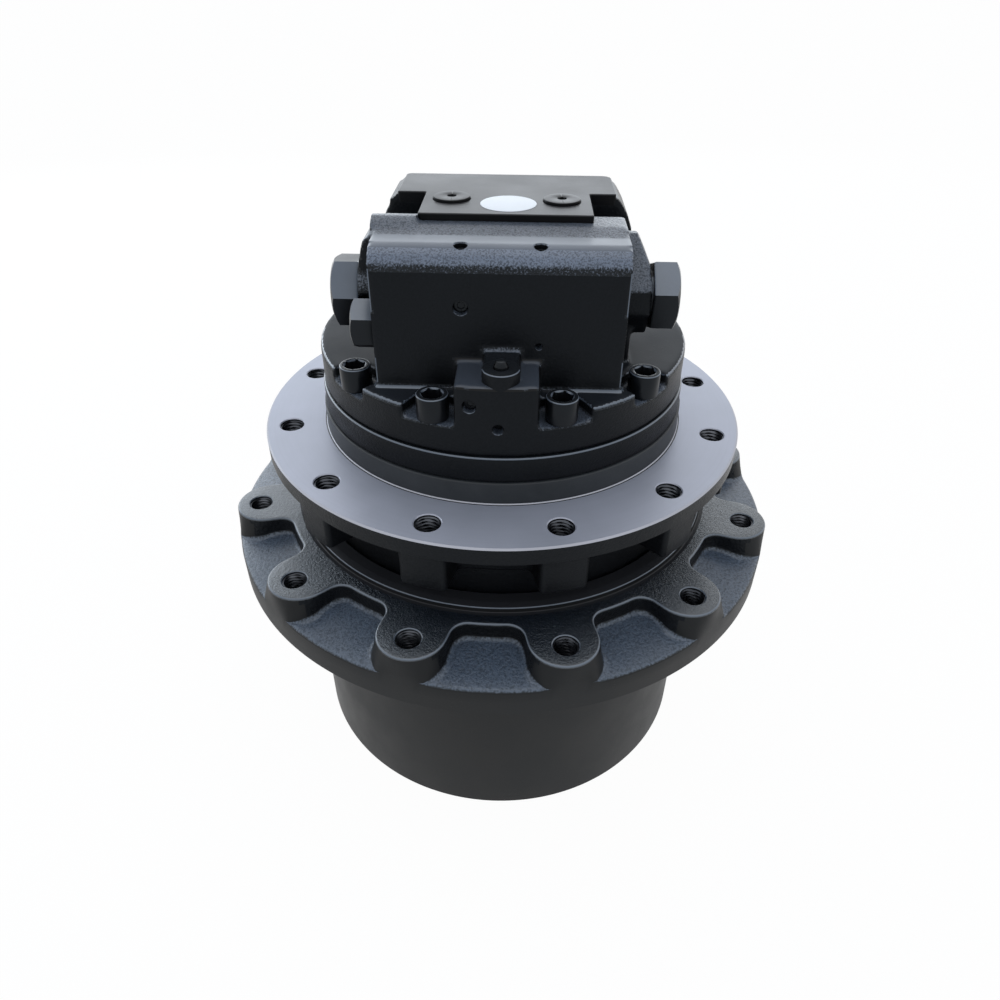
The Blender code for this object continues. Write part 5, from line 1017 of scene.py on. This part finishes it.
class FINALDRIVE_OT_valve_block(bpy.types.Operator):
    """Build the valve block: lobed flange, cast body with its bosses, and the machined slab"""
    bl_idname = "final_drive.valve_block"
    bl_label = "Valve block"
    bl_options = {"REGISTER", "UNDO"}

    def execute(self, context):
        self.body(context.scene.final_drive_sizes)
        self.slab()
        for index, (place, radius, sink) in enumerate(self.small_places()):
            if sink:
                name = "gallery_plug_%d" % (index + 1)
                plug = socket_screw(name, radius - 0.0001, 0.0016, radius - 0.0004, 0.0019, radius * 0.9,
                                    0.0009, 0.0003, 36)
                moved(plug, place @ Matrix.Translation((0, 0, -sink)))
                piece(name, plug, "black_bolt", FRAME_BODY, "port_block")
        return {"FINISHED"}

    def body(self, sizes):
        """Cast body: joined solids skinned afresh, then drilled and milled."""
        foot = CASE_TOP_Z + 0.0003
        spool = turned_to(0.0, SPOOL_Y, SPOOL_Z, STAND_ALONG_X)
        mesh = cast_skin(self.cast_solid(foot, spool), sizes.skin_size, sizes.skin_rounds)
        spigot = cylinder(0.0617, foot - 0.0068, foot + 0.003, steps=72)
        bolts = copies_at("bolts", cylinder(0.0057, foot - 0.005, BOLT_SEAT_Z + 0.004, steps=16), BOLT_PLACES)
        seats = copies_at("seats", cylinder(0.0092, BOLT_SEAT_Z, BOLT_SEAT_Z + 0.02, steps=32), BOLT_PLACES)
        bore = lathe("bore", [(0.0, -0.09), (0.0129, -0.09), (0.0129, -0.0517), (0.0109, -0.0517),
                              (0.0109, 0.0567), (0.0129, 0.0567), (0.0129, 0.09), (0.0, 0.09)],
                     32, matrix=spool)
        shaft = cylinder(0.0262, foot - 0.02, foot + 0.0105)
        column = lathe("column", rounded([(0.0, above(0.0460), 0), (0.0090, above(0.0460), 0),
                                          (0.0090, above(0.0700), 0.0008), (0.0, above(0.0700), 0)]),
                       SMALL_STEPS, matrix=turned_to(*PILOT_PLACE))
        pilot = cylinder(0.0037, above(0.066), above(0.075), turned_to(*PILOT_PLACE), 32)
        ports = joined("ports", [
            cylinder(radius, -depth, 0.01, turned_to(x, BODY_REAR_Y, above(height), TO_REAR))
            for x, height, radius, depth in ((-0.0270, 0.090, 0.0165, 0.020), (0.0270, 0.090, 0.0165, 0.020),
                                             (0.0, 0.064, 0.0105, 0.016))])
        sinks = joined("sinks", [cylinder(0.0112, above(0.1183), above(0.13), turned_to(x, y, 0.0))
                                 for x, y in SLAB_PLUG_PLACES])
        small = joined("small", [
            lathe("hole", [(0.0, -0.0056), (radius, -0.0056), (radius, -0.0004), (radius + 0.0008, 0.0006),
                           (radius + 0.0008, 0.004), (0.0, 0.004)], 28, matrix=place)
            for place, radius, _ in self.small_places()])
        mesh = carved(mesh, ("UNION", spigot, column),
                      ("DIFFERENCE", bolts, seats, bore, shaft, pilot, ports, sinks, small))
        looks = "black_cast black_satin black_ledge edge black_lobe black_round black_tab"
        item = piece("valve_body", mesh, looks, FRAME_BODY, "port_block", "port_block")
        # Rule three gives the edge finish, a painted highlight, to the lobe rims, the pilot column's rim and
        # the body's front corners; the ledge, the front round and the tab carry stronger painted top light.
        zoned(item.data,
              lambda f: (f.nz < 0.12) | ((f.y > 0.0) & (np.abs(f.x) > 0.045) & (f.z > above(0.1000)))
              | ((f.y < -0.078) & (f.z > above(0.0662)) & (f.z < above(0.0720))),
              lambda f: (f.z > LEDGE_Z - 0.0014) & (f.nz > 0.93) & (f.y < -0.0530),
              lambda f: ((f.nz > 0.35) & (f.nz < 0.92) & (np.abs(f.z - FLANGE_TOP_Z) < 0.0014)
                         & (f.r > 0.0845))
              | ((f.nz > 0.3) & (f.nz < 0.9) & (np.abs(f.z - above(0.0695)) < 0.0012) & (f.y < -0.0950))
              | ((f.ny < -0.35) & (np.abs(f.nx) > 0.45) & (np.abs(f.x) > 0.0585) & (f.y < -0.073)
                 & (f.z > FLANGE_TOP_Z + 0.002) & (np.abs(f.nz) < 0.3)),
              lambda f: (f.nz > 0.5) & (f.z < FLANGE_TOP_Z + 0.0012) & (f.z > FLANGE_TOP_Z - 0.0006)
              & ((f.nz >= 0.92) | (f.r <= 0.0845)),
              lambda f: (f.y < -0.0640) & (f.z > LEDGE_Z - 0.0130) & (f.nz > 0.12)
              & ((f.nz < 0.93) | (f.z < LEDGE_Z - 0.0014)),
              lambda f: (f.nz > 0.25) & (f.y < -0.0750) & (np.abs(f.z - above(0.0640)) < 0.0022))

    def cast_solid(self, foot, spool):
        """Flange with its pockets, the body over it, and everything cast on to that."""
        lobe_top = FLANGE_TOP_Z
        flange = lathe("flange", rounded([(0.0, foot, 0), (BLOCK_RADIUS, foot, 0.001),
                                          (BLOCK_RADIUS, lobe_top, 0.002), (0.0, lobe_top, 0)]))
        body = prism("body", rounded([
            (BODY_FRONT_Y, lobe_top - 0.006, 0), (BODY_FRONT_Y + 0.0015, LEDGE_Z, 0.0110),
            (-0.0535, LEDGE_Z, 0.004), (-0.0430, above(0.119), 0.003), (0.0385, above(0.119), 0.003),
            (BODY_REAR_Y, above(0.109), 0.004), (BODY_REAR_Y, lobe_top - 0.006, 0)]),
            -BODY_HALF_WIDTH, BODY_HALF_WIDTH, STAND_ALONG_X)
        pockets = joined("pockets", [
            prism("pocket", rounded([(*polar(0.1140, a - 8.0), 0), (*polar(0.1140, a + 8.0), 0),
                                     (*polar(0.0860, a + 7.6), 0.0085), (*polar(0.0860, a - 7.6), 0.0085)],
                                    closed=True), BOLT_SEAT_Z, lobe_top + 0.02) for a in BOLT_ANGLES])
        half = degrees(atan2(0.020, sqrt(BLOCK_RADIUS ** 2 - 0.020 ** 2)))
        tab = prism("tab", np.vstack([[(-0.020, -0.060)], arc((0, 0), BLOCK_RADIUS, -90 - half, -90 + half, 12),
                                      [(0.020, -0.060)]]), foot + 0.004, above(0.0640))
        bosses = cylinder(0.0215, -0.0700, 0.0400, spool, 64)
        right_boss = prism("right_boss", rounded([
            (-0.0100, above(0.1140), 0.002), (-0.0235, above(0.1130), 0.003), (-0.0485, above(0.0893), 0.0015),
            (-0.0485, above(0.0780), 0.0015), (-0.0400, above(0.0640), 0.006), (-0.0120, above(0.0620), 0.004)],
            closed=True), 0.0500, 0.0745, STAND_ALONG_X)
        right_slope = prism("right_slope", [
            (0.0622, above(0.1170)), (0.0670, above(0.1115)), (0.0738, above(0.0985)), (0.0738, above(0.0940)),
            (0.0900, above(0.0940)), (0.0900, above(0.1300)), (0.0622, above(0.1300))],
            -0.0005, 0.0600, TO_FRONT)
        right_rib = prism("right_rib", rectangle(0.0500, 0.0668, -0.0440, -0.0130), lobe_top - 0.002,
                          above(0.0700))
        shoulder = prism("shoulder", rounded([
            (0.0500, above(0.1170), 0), (0.0570, above(0.1170), 0), (0.0660, above(0.1135), 0.006),
            (0.0700, above(0.0980), 0.004), (0.0700, SPOOL_Z, 0), (0.0500, SPOOL_Z, 0)], closed=True)
            * (-1, 1), 0.0130, 0.0500, TO_FRONT)
        notches = [prism("notch", rectangle(left, right, -0.0250, 0.0004), above(0.108), above(0.14))
                   for left, right in ((-0.08, -0.0405), (0.0440, 0.08))]
        spotface = cylinder(0.0132, 0.0600, 0.0800, turned_to(*CHECK_PLACE, ALONG_MINUS_X))
        cast_boss = cylinder(0.0098, -0.0625, -0.0407, turned_to(0.0, -0.0390, above(0.1122), STAND_ALONG_X))
        cheeks = [prism("cheek", np.array([
            (0.0450, above(0.1160)), (x, above(0.1160)), (x, above(0.1217)), (x + 0.0036, above(0.1175)),
            (x + 0.0070, above(0.1120)), (x + 0.0097, above(0.1050)), (x + 0.0097, above(0.0900)),
            (0.0450, above(0.0900))]) * (side, 1), -0.0385, -0.0006, TO_FRONT)
            for side, x in ((-1, 0.0555), (1, 0.0578))]
        web = prism("web", rectangle(-0.0069, 0.0105, -0.0939, -0.070), above(0.0450), above(0.0697))
        return carved(flange, ("UNION", body), ("DIFFERENCE", pockets),
                      ("UNION", tab, bosses, shoulder, right_boss, right_rib),
                      ("DIFFERENCE", right_slope, *notches, spotface), ("UNION", cast_boss, *cheeks, web))

    def small_places(self):
        """Small gallery holes: place with its Z out of the block, radius, and how deep the plug sits."""
        return [(turned_to(-0.0178, -0.0660, LEDGE_Z - 0.0002), 0.0033, 0.0022),
                (turned_to(0.0186, -0.0660, LEDGE_Z - 0.0002), 0.0033, 0.0022),
                (turned_to(-0.0178, BODY_FRONT_Y + 0.0008, above(0.0906), TO_FRONT), 0.0036, 0.0034),
                (turned_to(0.0192, BODY_FRONT_Y + 0.0003, above(0.0724), TO_FRONT), 0.0018, 0.0),
                (Matrix.Rotation(radians(-7.1), 4, "Z") @ turned_to(0.0, -0.1030, above(0.0537), TO_FRONT),
                 0.0033, 0.0034),
                (turned_to(0.0009, -0.1030, above(0.0421), TO_FRONT), 0.0027, 0.0)]

    def slab(self):
        """Machined slab with its tongue, and the sinks of its two plugs."""
        outline = rounded([
            (-0.0405, -0.0378, 0.0012), (0.0440, -0.0378, 0.0012), (0.0440, 0.0004, 0.0012),
            (0.0578, 0.0004, 0.0012), (0.0578, 0.0385, 0.005), (-0.0555, 0.0385, 0.003),
            (-0.0555, 0.0004, 0.0012), (-0.0405, 0.0004, 0.0012)], closed=True)
        mesh = prism("top_slab", outline, above(0.1165), BLOCK_TOP_Z)
        sinks = joined("sinks", [cylinder(0.0094, BLOCK_TOP_Z - 0.004, BLOCK_TOP_Z + 0.005,
                                          turned_to(x, y, 0.0), 64) for x, y in SLAB_PLUG_PLACES])
        slab = piece("top_slab", carved(mesh, ("DIFFERENCE", sinks)), "black_smooth", FRAME_BODY, "port_block",
                     "port_block")
        edge = slab.modifiers.new("edge", "BEVEL")
        edge.width, edge.segments, edge.limit_method, edge.angle_limit = 0.0006, 2, "ANGLE", radians(50.0)


# Shank radius and length, hollow's radius and end wall of the spool caps
SPOOL_SHANK = (0.0125, 0.0183, 0.0093, 0.0100)


class FINALDRIVE_OT_fittings(bpy.types.Operator):
    """Build the screws, plugs, caps and the blank sticker of the valve block"""
    bl_idname = "final_drive.fittings"
    bl_label = "Fittings"
    bl_options = {"REGISTER", "UNDO"}

    def execute(self, context):
        self.screws()
        for name, slot, cap, place in (
                ("left_spool_cap", "spool_cap_left", (0.0320, 0.0142, 37.0, *SPOOL_SHANK),
                 turned_to(0.0, SPOOL_Y, SPOOL_Z) @ ALONG_MINUS_X @ Matrix.Translation((0, 0, 0.0703))),
                ("right_spool_cap", "spool_cap_right", (0.0320, 0.0129, 9.0, *SPOOL_SHANK),
                 turned_to(0.0, SPOOL_Y, SPOOL_Z) @ STAND_ALONG_X @ Matrix.Translation((0, 0, 0.0753))),
                ("check_cap", "check_valve_cap", (0.0220, 0.0124, 0.0, 0.0, 0.0, 0.0, 0.0, 0.0010),
                 turned_to(*CHECK_PLACE, ALONG_MINUS_X) @ Matrix.Translation((0, 0, 0.0603)))):
            self.cap(name, moved(hexagon_cap(name, *cap), place), slot)
        self.slab_plugs()
        dome = rounded([(0.0, above(0.0665), 0), (0.0036, above(0.0665), 0.0003),
                        (0.0034, above(0.0712), 0.0008), (0.0022, above(0.0738), 0.0010),
                        (0.0, above(0.0742), 0)])
        piece("pilot_plug", lathe("pilot_plug", dome, SMALL_STEPS, matrix=turned_to(*PILOT_PLACE)),
              "black_bolt", FRAME_BODY, "pilot_cap", "pilot_cap")
        radius = context.scene.final_drive_sizes.sticker_radius
        low, high = BLOCK_TOP_Z - 0.0001, BLOCK_TOP_Z + 0.00018
        disc = rounded([(0.0, low, 0), (radius, low, 0), (radius, high, 0.0001), (0.0, high, 0)])
        piece("blank_sticker", lathe("blank_sticker", disc, 72, matrix=turned_to(0.0026, -0.0196, 0.0)),
              "sticker", FRAME_BODY, "port_block")
        return {"FINISHED"}

    def screws(self):
        """Eight socket screws of the block, each turned a little further than the last."""
        for index in range(len(BOLT_ANGLES)):
            name = "port_block_bolt_%d" % (index + 1)
            low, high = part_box(name)
            screw = socket_screw(name + "_screw", 0.0079, 0.0125, 0.0052, high.z - low.z, 0.0098, 0.0066,
                                 0.0008)
            moved(screw, turned_to((low.x + high.x) / 2.0, (low.y + high.y) / 2.0, high.z,
                                   Matrix.Rotation(radians(23.0 * index), 4, "Z")))
            item = piece(name + "_screw", screw, "black_bolt edge", FRAME_BODY, name, name)
            # The rounded rim of each head gets the edge finish, a painted highlight.
            zoned(item.data, lambda f: (f.nz > 0.3) & (f.nz < 0.97) & (f.z > high.z - 0.0009))

    def slab_plugs(self):
        """Two plugs that stand a little proud of the slab."""
        for name in ("slab_plug_left", "slab_plug_right"):
            low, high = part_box(name)
            top = high.z + SLAB_PLUG_PROUD
            plug = socket_screw(name + "_screw", 0.0092, 0.0030, 0.0090, top - low.z, 0.0044, 0.0028,
                                0.0004, 60)
            moved(plug, turned_to((low.x + high.x) / 2.0, (low.y + high.y) / 2.0, top))
            piece(name + "_screw", plug, "black_smooth", FRAME_BODY, name, name)

    def cap(self, name, mesh, slot):
        """Forged cap whose level facets stay dark while the tilted ones carry a painted top light, a painted
        reflection of the sky.
        """
        item = piece(name, mesh, "black_cap black_smooth", FRAME_BODY, slot, slot)
        zoned(item.data, lambda f: f.nz > 0.9)


# Finish of an inside part by the first word found in its name
INSIDE_LOOKS = (
    ("bolt", "dark_steel"), ("cage", "bronze"), ("bushing", "bronze"), ("friction", "friction"),
    ("spring", "spring"), ("seal", "steel"), ("carrier", "dark_steel"), ("", "steel"))

# Springs: node, joint, axis, end of the box that stays, and the joint's travel
SPRINGS = (
    ("brake_disc_spring", "brake_release", 2, 1, 0.0012),
    ("spool_spring_left", "spool_slide", 0, 0, 0.0060),
    ("spool_spring_right", "spool_slide", 0, 1, 0.0060))


class FINALDRIVE_OT_inside(bpy.types.Operator):
    """Finish the gears, bearings, motor and valve parts that the castings hide"""
    bl_idname = "final_drive.inside"
    bl_label = "Inside parts"
    bl_options = {"REGISTER", "UNDO"}

    def execute(self, context):
        for name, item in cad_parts.items():
            look = next(look for word, look in INSIDE_LOOKS if word in name)
            if not item.material_slots:
                item.data.materials.append(None)
            for place in item.material_slots:
                place.material = LOOKS[look]
        for name, joint, axis, fixed_end, travel in SPRINGS:
            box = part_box(name)
            way, anchor = [0.0, 0.0, 0.0], [0.0, 0.0, 0.0]
            way[axis], anchor[axis] = 1.0, box[fixed_end][axis]
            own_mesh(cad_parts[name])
        return {"FINISHED"}


def soft_box(name, place, width, height, power, tint=(1.0, 1.0, 1.0)):
    """Rectangular soft lamp aimed at the middle of the drive."""
    lamp = bpy.data.lights.new(name, "AREA")
    lamp.shape, lamp.size, lamp.size_y, lamp.energy, lamp.color = "RECTANGLE", width, height, power, tint
    item = linked(name, lamp)
    item.location = place
    item.rotation_euler = (Vector(LAMP_TARGET) - Vector(place)).to_track_quat("-Z", "Y").to_euler()


def background_rays(tree):
    """Mask of the rays that should see the white background: camera, glossy and transmission."""
    rays = node(tree, "LightPath").outputs
    seen = maths(tree, "MAXIMUM", rays["Is Camera Ray"], rays["Is Glossy Ray"])
    return maths(tree, "MAXIMUM", seen, rays["Is Transmission Ray"])


def put_out(tree, target, mask, first, second):
    """Mix of two shader nodes by a mask, as the surface of a material or the world."""
    blend = node(tree, "MixShader", {0: mask, 1: first.outputs[0], 2: second.outputs[0]})
    node(tree, target, {"Surface": blend.outputs[0]})


class FINALDRIVE_OT_stage(bpy.types.Operator):
    """Set up the floor, the white background, the soft lamps and the camera"""
    bl_idname = "final_drive.stage"
    bl_label = "Stage"
    bl_options = {"REGISTER", "UNDO"}

    def execute(self, context):
        context.scene.view_settings.view_transform = "Standard"
        self.floor(context.scene.final_drive_colours.floor)
        self.world()
        soft_box("back_box", (-0.25, 1.55, 0.72), 2.4, 0.9, 8.0, (0.80, 0.90, 1.0))
        soft_box("left_box", (-1.35, 0.95, 0.75), 1.1, 0.9, 6.0, (0.80, 0.90, 1.0))
        soft_box("top_box", (0.0, 0.1, 1.9), 1.4, 1.0, 4.0)
        self.camera()
        return {"FINISHED"}

    def floor(self, shade):
        """Pale disc, which the camera sees as nearly pure white."""
        turn = turns(FLOOR_STEPS)
        points = FLOOR_RADIUS * np.c_[np.cos(turn), np.sin(turn), np.zeros(FLOOR_STEPS)]
        mesh = bpy.data.meshes.new("floor")
        mesh.from_pydata(points.tolist(), [], [list(range(FLOOR_STEPS))])
        material = bpy.data.materials.new("Pale floor")
        material.use_nodes = True
        tree = material.node_tree
        tree.nodes.clear()
        put_out(tree, "OutputMaterial", maths(tree, "MULTIPLY", background_rays(tree), FLOOR_WHITENESS),
                node(tree, "BsdfDiffuse", {"Color": (*shade, 1.0)}), node(tree, "Emission", {"Strength": 1.0}))
        mesh.materials.append(material)
        linked("floor", mesh)

    def world(self):
        """White where the camera looks, dimmer and bluish as light on the drive."""
        world = bpy.data.worlds.new("White room")
        bpy.context.scene.world = world
        world.use_nodes = True
        tree = world.node_tree
        tree.nodes.clear()
        put_out(tree, "OutputWorld", background_rays(tree),
                node(tree, "Background", {"Color": (0.82, 0.90, 1.0, 1.0), "Strength": 0.85}),
                node(tree, "Background", {"Color": (1.0, 1.0, 1.0, 1.0), "Strength": 1.0}))

    def camera(self):
        """Camera where the photograph was taken from."""
        lens = bpy.data.cameras.new("camera")
        lens.lens, lens.sensor_width = 27.43, 36.0
        item = linked("camera", lens)
        heading, pitch, roll = (radians(angle) for angle in CAMERA_ANGLES)
        forward = Vector((cos(heading) * cos(pitch), sin(heading) * cos(pitch), -sin(pitch)))
        level = forward.cross(Vector((0, 0, 1))).normalized()
        right = cos(roll) * level + sin(roll) * level.cross(forward)
        turn = Matrix((right, right.cross(forward), -forward)).transposed().to_4x4()
        item.matrix_world = Matrix.Translation(CAMERA_PLACE) @ turn
        bpy.context.scene.camera = item


STEPS = (FINALDRIVE_OT_finishes, FINALDRIVE_OT_hub, FINALDRIVE_OT_cover, FINALDRIVE_OT_spindle,
         FINALDRIVE_OT_valve_block, FINALDRIVE_OT_fittings, FINALDRIVE_OT_inside, FINALDRIVE_OT_stage)


class FINALDRIVE_PT_panel(bpy.types.Panel):
    """Panel that lists the sizes, the colours and the steps"""
    bl_label = "Final Drive"
    bl_idname = "FINALDRIVE_PT_panel"
    bl_space_type = "VIEW_3D"
    bl_region_type = "UI"
    bl_category = "Final Drive"

    def draw(self, context):
        for group in (context.scene.final_drive_sizes, context.scene.final_drive_colours):
            box = self.layout.box()
            for name in group.bl_rna.properties.keys():
                if name not in ("rna_type", "name"):
                    box.prop(group, name)
        for step in STEPS:
            self.layout.operator(step.bl_idname)


CLASSES = (FinalDriveSizes, FinalDriveColours, *STEPS, FINALDRIVE_PT_panel)


def register():
    for item in CLASSES:
        bpy.utils.register_class(item)
    bpy.types.Scene.final_drive_sizes = PointerProperty(type=FinalDriveSizes)
    bpy.types.Scene.final_drive_colours = PointerProperty(type=FinalDriveColours)


def unregister():
    del bpy.types.Scene.final_drive_colours
    del bpy.types.Scene.final_drive_sizes
    for item in reversed(CLASSES):
        bpy.utils.unregister_class(item)


def main():
    register()
    for step in STEPS:
        area, name = step.bl_idname.split(".")
        getattr(getattr(bpy.ops, area), name)()


if __name__ == "__main__":
    main()
